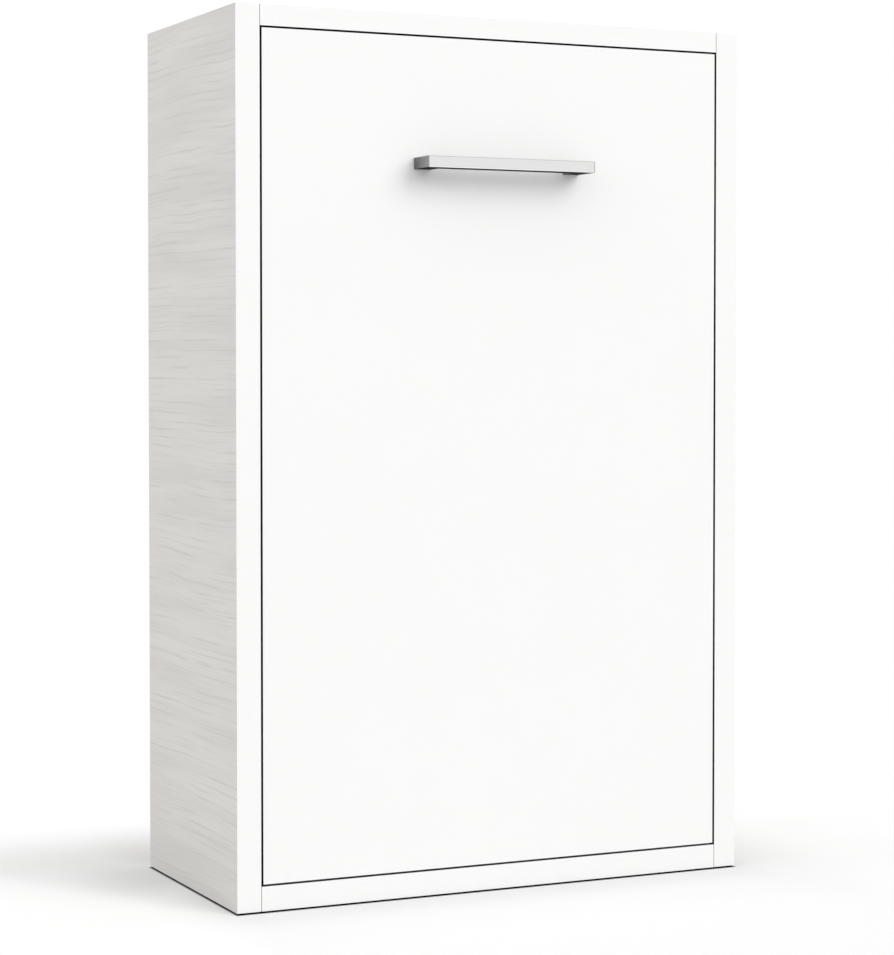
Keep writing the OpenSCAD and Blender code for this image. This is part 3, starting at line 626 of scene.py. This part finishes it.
# Handle
# A deep U of brushed aluminium. Its face is brushed along its length, between painted shade on its
# upper edge and a painted highlight on its lower one. Its sawn ends are dull, with painted shade
# deepening towards the front panel, and its underside and lower back are painted dark as shade.
handle_low, handle_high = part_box("handle")

# How far from the face's edges the painted shade of its upper rim and right tip, and the painted
# highlight of its lower rim, begin and are at their full tone
handle_rim = (0.0022, 0.0012)
handle_tip = (0.0036, 0.0024)


def brushed_aluminium():
    """Bright metal with fine lines along X, painted shade on its upper rim and right tip, a painted
    highlight on its lower rim, and dull sawn ends with painted shade deepening towards the front
    panel. Its underside and lower back are painted dark as shade."""
    finish = Finish("brushed_aluminium", Metallic=1.0, Specular_Tint=(0.15, 0.15, 0.15))
    across, out, up = finish.normal()
    streaks = finish.noise(finish.vector(finish.x * 9, finish.y * 900, finish.z * 1600), 1, 3, 0.7)
    sawn = abs(across).rise(0.4, 0.8)
    # Painted shade: the underside and the lower part of the back are dark.
    shaded_lower_back = out.rise(0.4, 0.8) * finish.z.rise(handle_high.z, handle_low.z)
    painted_under_shade = shaded_lower_back.larger(up.rise(-0.4, -0.8))
    bright = finish.mix(streaks, (0.74, 0.74, 0.735), (0.92, 0.92, 0.915))
    # Painted shade on the upper rim and the right tip, and a painted highlight on the lower rim.
    shaded_upper_rim = finish.z.rise(*(handle_high.z - depth for depth in handle_rim))
    highlit_lower_rim = finish.z.rise(*(handle_low.z + depth for depth in handle_rim))
    shaded_right_tip = finish.x.rise(*(handle_high.x - depth for depth in handle_tip))
    bright = finish.mix(shaded_upper_rim, bright, (0.62, 0.62, 0.62))
    bright = finish.mix(highlit_lower_rim, bright, (1.0, 1.0, 1.0))
    bright = finish.mix(shaded_right_tip, bright, (0.5, 0.5, 0.5))
    # Painted shade: the sawn ends grow darker towards the front panel.
    toward_front = finish.y.rise(handle_high.y, handle_low.y)
    dull = finish.mix(toward_front, (0.29, 0.29, 0.295), (0.51, 0.51, 0.515))
    dull = finish.mix(streaks * 0.4, dull, (0.15, 0.15, 0.15))
    colour = finish.mix(sawn, bright, dull)
    colour = finish.mix(painted_under_shade, colour, (0.05, 0.05, 0.053))
    finish.give(Base_Color=colour, Roughness=0.30 + 0.14 * streaks + 0.15 * sawn)
    finish.relief(streaks, 0.00002)
    return finish.material


eased_node("handle", "bar_handle", "bed", brushed_aluminium(), 0.0006)
crossed_screws("handle_screws", "crossed_handle_screws", "bed")


# Bed frame
# Rectangular steel tubes, welded, powder-coated in one grey, with the lever plates bolted on.
def powder_coat():
    """Grey powder coat: fine orange peel with a faint sparkle."""
    finish = Finish("grey_powder_coat")
    peel = finish.noise(finish.place, 520, 2)
    cloud = finish.noise(finish.place, 9, 2)
    finish.give(Base_Color=finish.mix(cloud, (0.235, 0.24, 0.25), (0.27, 0.275, 0.285)))
    finish.give(Roughness=0.40 + 0.12 * peel)
    finish.relief(peel, 0.00007)
    return finish.material


grey_coat = powder_coat()
repaint(grey_coat, "side_rail_left", "side_rail_right", "head_rail", "foot_rail", "cross_rails",
        "mattress_retainers")
eased_node("lever_plates", "cut_lever_plates", "bed", grey_coat, 0.0007)
eased_node("panel_brackets", "rolled_panel_brackets", "bed", zinc, 0.0004)
crossed_screws("panel_screws", "crossed_panel_screws", "bed")
repaint(zinc, "lever_bolts")
repaint(black_plastic, "pivot_bushes")


# Welds and plugs
# A rippled bead lies in each corner between a tube across the bed and a side tube, and a black
# plug closes each end of the side tubes.
def quads(table):
    """The four-sided faces between neighbouring rows and columns of a table of vertex numbers."""
    corners = (table[:-1, :-1], table[1:, :-1], table[1:, 1:], table[:-1, 1:])
    return np.stack(corners, -1).reshape(-1, 4)


def outward_mesh(name, points, faces):
    """A smooth mesh of these points and faces, all turned to face outwards."""
    mesh = bpy.data.meshes.new(name)
    mesh.from_pydata(points.tolist(), [], faces)
    work = bmesh.new()
    work.from_mesh(mesh)
    bmesh.ops.recalc_face_normals(work, faces=work.faces)
    work.to_mesh(mesh)
    work.free()
    mesh.shade_smooth()
    return mesh


def place(name, mesh):
    """Puts a mesh into the scene as a piece of this name."""
    piece = bpy.data.objects.new(name, mesh)
    bpy.context.scene.collection.objects.link(piece)
    return piece


def carried(name, path, sideways, profile, closed=False):
    """A profile carried along a path. A point is the path's point, plus the profile's first number
    along the sideways direction, plus its second along the direction square to it and the path.
    The profile is one outline, or one for each point of the path. The UV map gives metres along the
    path and metres round the profile."""
    ahead = np.roll(path, -1, 0) - np.roll(path, 1, 0)
    if not closed:
        ahead[0] = path[1] - path[0]
        ahead[-1] = path[-1] - path[-2]
    ahead /= np.linalg.norm(ahead, axis=1, keepdims=True)
    square = np.cross(np.broadcast_to(sideways, ahead.shape), ahead)[:, None]
    points = path[:, None] + profile[..., :1] * np.array(sideways) + profile[..., 1:] * square
    sides = points.shape[1]
    numbers = np.arange(len(path) * sides).reshape(len(path), sides)
    table = np.concatenate([numbers, numbers[:, :1]], 1)
    if closed:
        table = np.concatenate([table, table[:1]])
    faces = quads(table).tolist()
    if not closed:
        faces += [numbers[0].tolist(), numbers[-1].tolist()]
    mesh = outward_mesh(name, points.reshape(-1, 3), faces)
    run = np.append(0, np.cumsum(np.linalg.norm(np.diff(path, axis=0), axis=1)))
    ring = np.append(0, np.cumsum(np.linalg.norm(np.diff(points[0], axis=0), axis=1)))
    corner = np.zeros(len(mesh.loops), int)
    mesh.loops.foreach_get("vertex_index", corner)
    metres = np.stack([run[corner // sides], ring[corner % sides]], -1)
    mesh.uv_layers.new(name="metres").data.foreach_set("uv", metres.ravel())
    return mesh


def joined(name, meshes):
    """Several meshes as one piece."""
    work = bmesh.new()
    for mesh in meshes:
        work.from_mesh(mesh)
        bpy.data.meshes.remove(mesh)
    whole = bpy.data.meshes.new(name)
    work.to_mesh(whole)
    work.free()
    return place(name, whole)


def ring_profile(radius, sides):
    """A circle's points."""
    turn = np.arange(sides) * 2 * np.pi / sides
    return radius * np.stack([np.cos(turn), np.sin(turn)], -1)


bead_r = 0.0026
bead_end = 0.003
bead_ripple = 0.0024
bead_taper = 0.15
bead_rings = 65
rail_low, rail_high = (np.array(corner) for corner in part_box("head_rail"))
tube_width = rail_high[2] - rail_low[2]
cross_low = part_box("cross_rails")[0][2]
cross_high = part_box("cross_rails")[1][2]
corner_levels = (rail_high[2], cross_low, cross_low + tube_width, cross_high - tube_width, cross_high,
                 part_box("foot_rail")[0][2])


def weld_bead(x, level):
    """A round bar along Y whose radius swells and shrinks by a tenth, as a sine, and falls off as a
    quarter circle over the taper at its ends."""
    along = np.linspace(-1, 1, bead_rings)
    middle = (rail_low[1] + rail_high[1]) / 2
    half = (rail_high[1] - rail_low[1]) / 2 - bead_end
    ripple = 1 + 0.1 * np.sin(along * half * 2 * np.pi / bead_ripple)
    taper = np.clip((abs(along) - 1 + bead_taper) / bead_taper, 0, 0.98)
    falloff = np.sqrt(1 - taper ** 2)
    path = np.stack([0 * along + x, middle + along * half, 0 * along + level], -1)
    outline = (bead_r * ripple * falloff)[:, None, None] * ring_profile(1, 12)
    return carried("bead", path, (1, 0, 0), outline)


def box_mesh(name, low, high):
    """A box between two corners."""
    corners = np.stack(np.meshgrid(*zip(low, high), indexing="ij"), -1).reshape(8, 3)
    faces = [(0, 1, 3, 2), (4, 6, 7, 5), (0, 4, 5, 1), (2, 3, 7, 6), (0, 2, 6, 4), (1, 5, 7, 3)]
    return outward_mesh(name, corners, faces)


def added(piece, body, material):
    """A new piece that rides on a body and takes no CAD node's place."""
    piece.data.materials.append(material)
    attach(piece, body)
    return piece


added(joined("weld_beads", [weld_bead(x, level) for x in (rail_low[0], rail_high[0])
                            for level in corner_levels]), "bed", grey_coat)

plug_t = 0.002
plug_inset = np.array([0.0006, 0.0006, 0])
plugs = []
for side in ("left", "right"):
    low, high = (np.array(corner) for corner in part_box(f"side_rail_{side}"))
    for bottom in (low[2] - plug_t, high[2]):
        plugs.append(box_mesh("plug", np.append(low[:2], bottom) + plug_inset,
                              np.append(high[:2], bottom + plug_t) - plug_inset))
added(ease_edges(joined("tube_plugs", plugs), 0.0012), "bed", black_plastic)


# Slats
# Eleven bowed planks of beech plywood with rounded edges, in plastic holders on the side rails.
def beech_plywood():
    """Beech veneer with short flecks along the plank, and layered edges."""
    finish = Finish("beech_plywood")
    edge = abs(finish.normal()[2]).rise(0.4, 0.8)
    grain = finish.noise(finish.vector(finish.x * 5, finish.y, finish.z * 160), 1, 4, 0.6)
    fleck = finish.noise(finish.vector(finish.x * 60, finish.y, finish.z * 900), 1, 1)
    face = finish.mix(grain, (0.60, 0.42, 0.26), (0.71, 0.53, 0.35))
    face = finish.mix(fleck.rise(0.60, 0.70) * 0.5, face, (0.45, 0.28, 0.15))
    ply = (finish.y * 3500).sin()
    layered = finish.mix(ply.rise(-0.6, 0.4), (0.42, 0.27, 0.15), (0.68, 0.50, 0.32))
    finish.give(Base_Color=finish.mix(edge, face, layered), Roughness=0.42 + 0.15 * grain)
    finish.relief(grain, 0.00008)
    return finish.material


beech = beech_plywood()
for number in range(1, 12):
    eased_node(f"slat_{number}", f"beech_slat_{number}", "bed", beech, 0.0018)
eased_node("slat_holders", "moulded_holders", "bed", black_plastic, 0.0008)


# Mattress
# A foam core in a box-quilted knit cover: two stitched panels, a mesh border between them, and
# piping along both seams. It lies on the slats, between the retainers and the straps.
mattress_low, mattress_high = (np.array(corner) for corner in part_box("mattress"))
mattress_mid = (mattress_low + mattress_high) / 2
seam_inset = np.array([0.0065, 0.0095, 0.0065])
seam_half = (mattress_high - mattress_low) / 2 - seam_inset
cover_corner = 0.045
quilt_squares = (9, 15)
square_steps = np.array([0, 0.05, 0.15, 0.30, 0.50, 0.70, 0.85, 0.95])
border_steps = np.linspace(0, 1, 12)
panel_crown = 0.0035
border_bulge = 0.002
puff_limit = 0.0065
border_limit = 0.003
stuffing_steps = 20


def quilt_lines(squares, half):
    """Grid positions from -half to half, closer together beside each stitched line."""
    positions = (np.arange(squares)[:, None] + square_steps).ravel()
    return np.append(positions, squares) * 2 * half / squares - half


def round_corners(x, z):
    """Pulls the panel grid's corner squares in to quarter discs: a point at (s, t) of its square
    moves to (s, t) times the larger of s and t, over the length of (s, t)."""
    s = np.clip((abs(x) - seam_half[0]) / cover_corner + 1, 0, 1)
    t = np.clip((abs(z) - seam_half[2]) / cover_corner + 1, 0, 1)
    pull = np.maximum(s, t) / np.maximum(np.hypot(s, t), 1e-9)
    pull = np.where((s > 0) & (t > 0), 1 - pull, 0) * cover_corner
    return x - np.sign(x) * s * pull, z - np.sign(z) * t * pull


def cover_shell():
    """The unstuffed cover. A panel is a grid with rounded corners and a low crown of
    (1 - x^4)(1 - z^4). The border joins the two outlines in rings, bulged by half a sine. It
    returns the points, the faces, how far each point may move, and the seam's outline."""
    x, z = np.meshgrid(quilt_lines(quilt_squares[0], seam_half[0]),
                       quilt_lines(quilt_squares[1], seam_half[2]), indexing="ij")
    stitched = np.logical_or.outer(np.arange(x.shape[0]) % len(square_steps) == 0,
                                   np.arange(x.shape[1]) % len(square_steps) == 0)
    crown = panel_crown * (1 - (x / seam_half[0]) ** 4) * (1 - (z / seam_half[2]) ** 4)
    x, z = round_corners(x, z)
    panel = np.stack([x, seam_half[1] + crown, z], -1)
    numbers = np.arange(x.size).reshape(x.shape)
    around = np.concatenate([numbers[:-1, 0], numbers[-1, :-1], numbers[:0:-1, -1], numbers[0, :0:-1]])
    panel = panel.reshape(-1, 3)
    rim = panel[around]
    ahead = np.roll(rim, -1, 0) - np.roll(rim, 1, 0)
    beside = np.stack([ahead[:, 2], 0 * ahead[:, 0], -ahead[:, 0]], -1)
    beside /= np.linalg.norm(beside, axis=1, keepdims=True)
    steps = border_steps[1:-1, None, None]
    rings = rim + beside * border_bulge * np.sin(np.pi * steps)
    rings[:, :, 1:2] = seam_half[1] * (2 * steps - 1)
    mirrored = panel * (1, -1, 1)
    points = np.concatenate([panel, mirrored, rings.reshape(-1, 3)])
    ring_numbers = 2 * x.size + np.arange(rings.shape[0] * len(around)).reshape(-1, len(around))
    table = np.concatenate([[around + x.size], ring_numbers, [around]])
    table = np.concatenate([table, table[:, :1]], 1)
    faces = np.concatenate([quads(numbers), quads(numbers + x.size), quads(table)])
    slack = np.where(stitched, 0, puff_limit)
    slack.ravel()[around] = 0
    slack = np.concatenate([slack.ravel(), slack.ravel(), np.full(rings[..., 0].size, border_limit)])
    return points + mattress_mid, faces.tolist(), slack, rim


def stuffed(piece, slack):
    """Blows the cover up as cloth held along its stitches. A point that the cloth moves by d ends
    up at slack * tanh(d / slack) from its start."""
    start = np.zeros(len(slack) * 3)
    piece.data.vertices.foreach_get("co", start)
    held = piece.vertex_groups.new(name="stitched")
    held.add(np.flatnonzero(slack == 0).tolist(), 1.0, "REPLACE")
    cloth = piece.modifiers.new("stuffing", "CLOTH")
    settings = cloth.settings
    settings.vertex_group_mass = held.name
    settings.quality = 4
    settings.use_pressure = True
    settings.uniform_pressure_force = 4.0
    settings.shrink_min = -0.04
    settings.effector_weights.gravity = 0
    cloth.collision_settings.use_collision = False
    cloth.point_cache.frame_end = stuffing_steps
    for step in range(1, stuffing_steps + 1):
        bpy.context.scene.frame_set(step)
    swollen = piece.evaluated_get(bpy.context.evaluated_depsgraph_get())
    moved = np.zeros(len(slack) * 3)
    swollen.data.vertices.foreach_get("co", moved)
    piece.modifiers.remove(cloth)
    piece.vertex_groups.remove(held)
    bpy.context.scene.frame_set(1)
    move = (moved - start).reshape(-1, 3)
    far = np.maximum(np.linalg.norm(move, axis=1), 1e-9)
    share = slack * np.tanh(far / np.maximum(slack, 1e-9)) / far
    return start.reshape(-1, 3) + move * share[:, None]


def quilted_mattress():
    """The stuffed cover: swollen, kept inside its place between its neighbours, and subdivided."""
    points, faces, slack, rim = cover_shell()
    piece = place("quilted_mattress", outward_mesh("quilted_mattress", points, faces))
    points = stuffed(piece, slack)
    points = np.clip(points, mattress_low + 0.0002, mattress_high - 0.0002)
    piece.data.vertices.foreach_set("co", points.ravel())
    smooth = piece.modifiers.new("smooth_cover", "SUBSURF")
    smooth.levels = 1
    smooth.render_levels = 1
    return piece, rim


# How far from a stitched line its thread ends, about how wide a quilt square is, and how far from
# the middle the border's mesh reaches
thread_half = (0.0009, 0.0006)
quilt_square = 0.132
border_half = float(seam_half[1]) - 0.002


def quilt_cover():
    """Off-white knit with small loops, with painted shade in their hollows, thread in dashes along the
    quilt's lines, and a grey mesh on the border whose round holes are painted dark as shade."""
    finish = Finish("mattress_cover", Sheen_Weight=0.25, Sheen_Roughness=0.5)
    x = finish.x - float(mattress_mid[0])
    y = finish.y - float(mattress_mid[1])
    z = finish.z - float(mattress_mid[2])
    across = x / float(2 * seam_half[0] / quilt_squares[0]) + 0.5 * quilt_squares[0]
    along = z / float(2 * seam_half[2] / quilt_squares[1]) + 0.5 * quilt_squares[1]
    near_x = abs((across + 0.5).fract() - 0.5) * quilt_square
    near_z = abs((along + 0.5).fract() - 0.5) * quilt_square
    dashes_x = near_x.rise(*thread_half) * (z * 1300).sin().rise(-0.4, 0.0)
    dashes_z = near_z.rise(*thread_half) * (x * 1300).sin().rise(-0.4, 0.0)
    thread = dashes_x.larger(dashes_z)
    loops = (x * 2900).sin() * (z * 2100).sin()
    cloud = finish.noise(finish.place, 30, 3)
    knit = finish.mix(cloud, (0.80, 0.79, 0.765), (0.755, 0.745, 0.72))
    # Painted shade: the knit is darker where its loops sink.
    knit = finish.mix(loops.rise(0.2, -0.9) * 0.35, knit, (0.64, 0.63, 0.60))
    knit = finish.mix(thread * 0.8, knit, (0.60, 0.585, 0.55))
    around = x + z
    holes = ((around * 1500).sin() * (y * 1500).sin()).rise(0.15, 0.75)
    # Painted shade: the mesh's sunken holes are dark.
    mesh_grey = finish.mix(holes, (0.52, 0.53, 0.545), (0.20, 0.205, 0.215))
    border = abs(y).rise(border_half, border_half - 0.0005)
    finish.give(Base_Color=finish.mix(border, knit, mesh_grey), Roughness=0.82 + 0.1 * cloud)
    height = (1 - border) * (loops * 0.35 + thread * 0.6) - border * holes
    finish.relief(height, 0.0006)
    return finish.material


cover_material = quilt_cover()
mattress_piece, seam_rim = quilted_mattress()
stands_for(mattress_piece, "mattress", "bed", cover_material)


# Piping
# A cord in a sleeve of the cover's knit, sewn into the seam round both panels.
piping_r = 0.0032
piping_out = 0.0028


def piping(level):
    """The seam's outline, moved out by most of the cord's radius, at this level from the middle."""
    path = seam_rim * (1 + piping_out / seam_half[0], 0, 1 + piping_out / seam_half[2])
    path += mattress_mid + np.array([0, level, 0])
    return carried("cord", path, (0, 1, 0), ring_profile(piping_r, 8), closed=True)


added(joined("cover_piping", [piping(seam_half[1]), piping(-seam_half[1])]),
      "bed", cover_material)


# Webbing
# Woven black polyester band, in ribs across its width: four handles on the mattress's long sides,
# and two straps that hold the bedding when the bed is closed.
def band_profile(width, thickness):
    """A band's section: a rectangle whose corners are cut back by a third of the thickness."""
    a = width / 2
    b = thickness / 2
    c = thickness / 3
    return np.array([(-a, -b + c), (-a + c, -b), (-a / 3, -b), (a / 3, -b), (a - c, -b), (a, -b + c),
                     (a, b - c), (a - c, b), (a / 3, b), (-a / 3, b), (-a + c, b), (-a, b - c)])


def webbing_weave():
    """Black polyester: ribs of 1.3 mm across the band, crossed by finer warp threads, with painted
    shade in the grooves between them.
    """
    finish = Finish("black_webbing", Sheen_Weight=0.15)
    run, around, _ = finish.parts(finish.node("UVMap", {"uv_map": "metres"}))
    warp = (around * 4600).sin()
    ribs = (run * 4800 + warp * 0.8).sin()
    cloud = finish.noise(finish.place, 60, 2)
    height = ribs * 0.5 + warp * 0.3
    # Painted shade: darker where the weave sinks, lighter on its ribs.
    dark = finish.mix(height.rise(-0.6, 0.8), (0.010, 0.010, 0.011), (0.030, 0.030, 0.032))
    finish.give(Base_Color=finish.mix(cloud * 0.4, dark, (0.040, 0.040, 0.042)))
    finish.give(Roughness=0.62 + 0.12 * cloud)
    finish.relief(height, 0.0005)
    return finish.material


webbing = webbing_weave()
band_half = 0.085
band_width = 0.030
band_thick = 0.0014
band_bow = 0.0035
band_bowed = 0.75
band_gap = 0.0010
band_centres = (0.6, -0.6)


def side_handle(side, centre):
    """A band along the border, whose middle three quarters stand off it by a raised cosine."""
    along = np.linspace(-1, 1, 33)
    lift = band_bow * np.cos(np.pi / 2 * np.clip(along / band_bowed, -1, 1)) ** 2
    x = side * (seam_half[0] + border_bulge + band_gap + lift)
    z = mattress_mid[2] + centre * seam_half[2] + along * band_half
    path = np.stack([x, 0 * along + mattress_mid[1], z], -1)
    return carried("handle", path, (0, 1, 0), band_profile(band_width, band_thick))


added(joined("mattress_handles", [side_handle(side, centre) for side in (-1, 1)
                                  for centre in band_centres]),
      "bed", webbing)


# Bedding straps
# Each strap runs from one side rail over the mattress to the other, through a buckle at its
# middle. A screw with a washer holds each end.
strap_low, strap_high = (np.array(corner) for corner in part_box("bedding_straps"))
strap_width = 0.040
strap_thick = 0.0016
strap_turn = 0.006
hump_end = 0.019
hump_slope = 0.0135
fine_end = 0.024
coarse_start = 0.030
buckle_gap = 0.0003
strap_levels = (strap_low[2] + strap_width / 2, strap_high[2] - strap_width / 2)
buckle_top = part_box("strap_buckles")[1][1]


def strap_path(level):
    """Up beside the mattress, round a corner, across it and over the buckle's bar, and down again.
    Half of it is worked out from the middle outwards, with more points near the bar, and mirrored.
    The hump over the bar falls as 3h^2 - 2h^3, where h goes from 1 to 0 over the slope."""
    top = strap_high[1] - strap_thick / 2
    side = strap_high[0] - strap_thick / 2
    fine = np.linspace(0, fine_end, 13)
    out = np.concatenate([fine, np.linspace(coarse_start, side - strap_turn, 24)])
    hump = np.clip((hump_end - out) / hump_slope, 0, 1)
    over = buckle_top + strap_thick / 2 + buckle_gap - top
    across = np.stack([out, top + over * hump * hump * (3 - 2 * hump)], -1)
    turn = np.linspace(0, np.pi / 2, 7)[1:]
    bend = np.array([side, top]) + strap_turn * np.stack([np.sin(turn) - 1, np.cos(turn) - 1], -1)
    down = np.stack([np.full(14, side), np.linspace(top - strap_turn, strap_low[1], 15)[1:]], -1)
    half = np.concatenate([across, bend, down])
    whole = np.concatenate([half[:0:-1] * (-1, 1), half])
    return np.stack([whole[:, 0], whole[:, 1], np.full(len(whole), level)], -1)


straps = joined("woven_straps", [carried("strap", strap_path(level), (0, 0, 1),
                                         band_profile(strap_width, strap_thick))
                                 for level in strap_levels])
stands_for(straps, "bedding_straps", "bed", webbing)
eased_node("strap_buckles", "moulded_buckles", "bed", black_plastic, 0.0012, 3)

strap_screw_up = 0.011
strap_screw_stations = np.array([
    (0.0, 0.0080), (0.0010, 0.0080), (0.0013, 0.0077), (0.00132, 0.0050), (0.0022, 0.0049),
    (0.0034, 0.0040), (0.0040, 0.0026)])


def turned(name, start, ahead, sideways, stations):
    """A round piece along a line: stations are pairs of a distance from its start and a radius."""
    path = np.array(start) + stations[:, :1] * np.array(ahead)
    return carried(name, path, sideways, stations[:, 1:, None] * ring_profile(1, 24))


def strap_screw(side, level):
    """A washer and a domed head on a strap's outer face, close to the strap's end."""
    start = (side * strap_high[0], strap_low[1] + strap_screw_up, level)
    return turned("strap_screw", start, (side, 0, 0), (0, 1, 0), strap_screw_stations)


strap_screws = joined("strap_screws", [strap_screw(side, level) for side in (-1, 1)
                                       for level in strap_levels])
mark_across(strap_screws.data)
added(strap_screws, "bed", zinc_screws)


# Gas springs
# Each is a black enamelled tube with a hard-chromed rod, and zinc-plated eyes on steel studs. A
# rubber lip seals the tube round the rod.
def black_enamel():
    """Smooth black paint with a soft orange peel."""
    finish = Finish("black_enamel")
    peel = finish.noise(finish.place, 240, 2)
    finish.give(Base_Color=finish.mix(peel, (0.010, 0.010, 0.011), (0.016, 0.016, 0.017)))
    finish.give(Roughness=0.24 + 0.10 * peel)
    finish.relief(peel, 0.00005)
    return finish.material


def hard_chrome():
    """Ground and chromed steel: mirror bright, with faint grinding rings."""
    finish = Finish("hard_chrome", Metallic=1.0)
    rings = finish.noise(finish.vector(finish.x * 8, finish.y * 8, finish.z * 2600), 1, 2)
    finish.give(Base_Color=finish.mix(rings, (0.74, 0.75, 0.77), (0.82, 0.83, 0.85)))
    finish.give(Roughness=0.07 + 0.08 * rings)
    return finish.material


enamel = black_enamel()
chrome = hard_chrome()
seal_stations = np.array([(-0.0005, 0.0078), (0.0012, 0.0078), (0.0026, 0.0066), (0.0028, 0.0044)])


def lip_seal(side):
    """A short tapered ring on the tube's lower end. The tube's length follows from its box, whose
    height is the tube's own, leant over, and its leant width."""
    low, high = (np.array(corner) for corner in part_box(f"gas_cylinder_{side}"))
    middle = (low + high) / 2
    rod_middle = np.mean(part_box(f"gas_rod_{side}"), axis=0)
    ahead = (rod_middle - middle) * (0, 1, 1)
    ahead /= np.linalg.norm(ahead)
    length = (high[2] - low[2] - (high[0] - low[0]) * abs(ahead[1])) / abs(ahead[2])
    return turned(f"lip_seal_{side}", middle + ahead * length / 2, ahead, (1, 0, 0), seal_stations)


for side in ("left", "right"):
    repaint(enamel, f"gas_cylinder_{side}")
    repaint(chrome, f"gas_rod_{side}")
    repaint(zinc, f"cylinder_eye_{side}", f"rod_eye_{side}", f"rod_stud_{side}")
    added(place(f"lip_seal_{side}", lip_seal(side)), f"spring_tube_{side}", rubber)
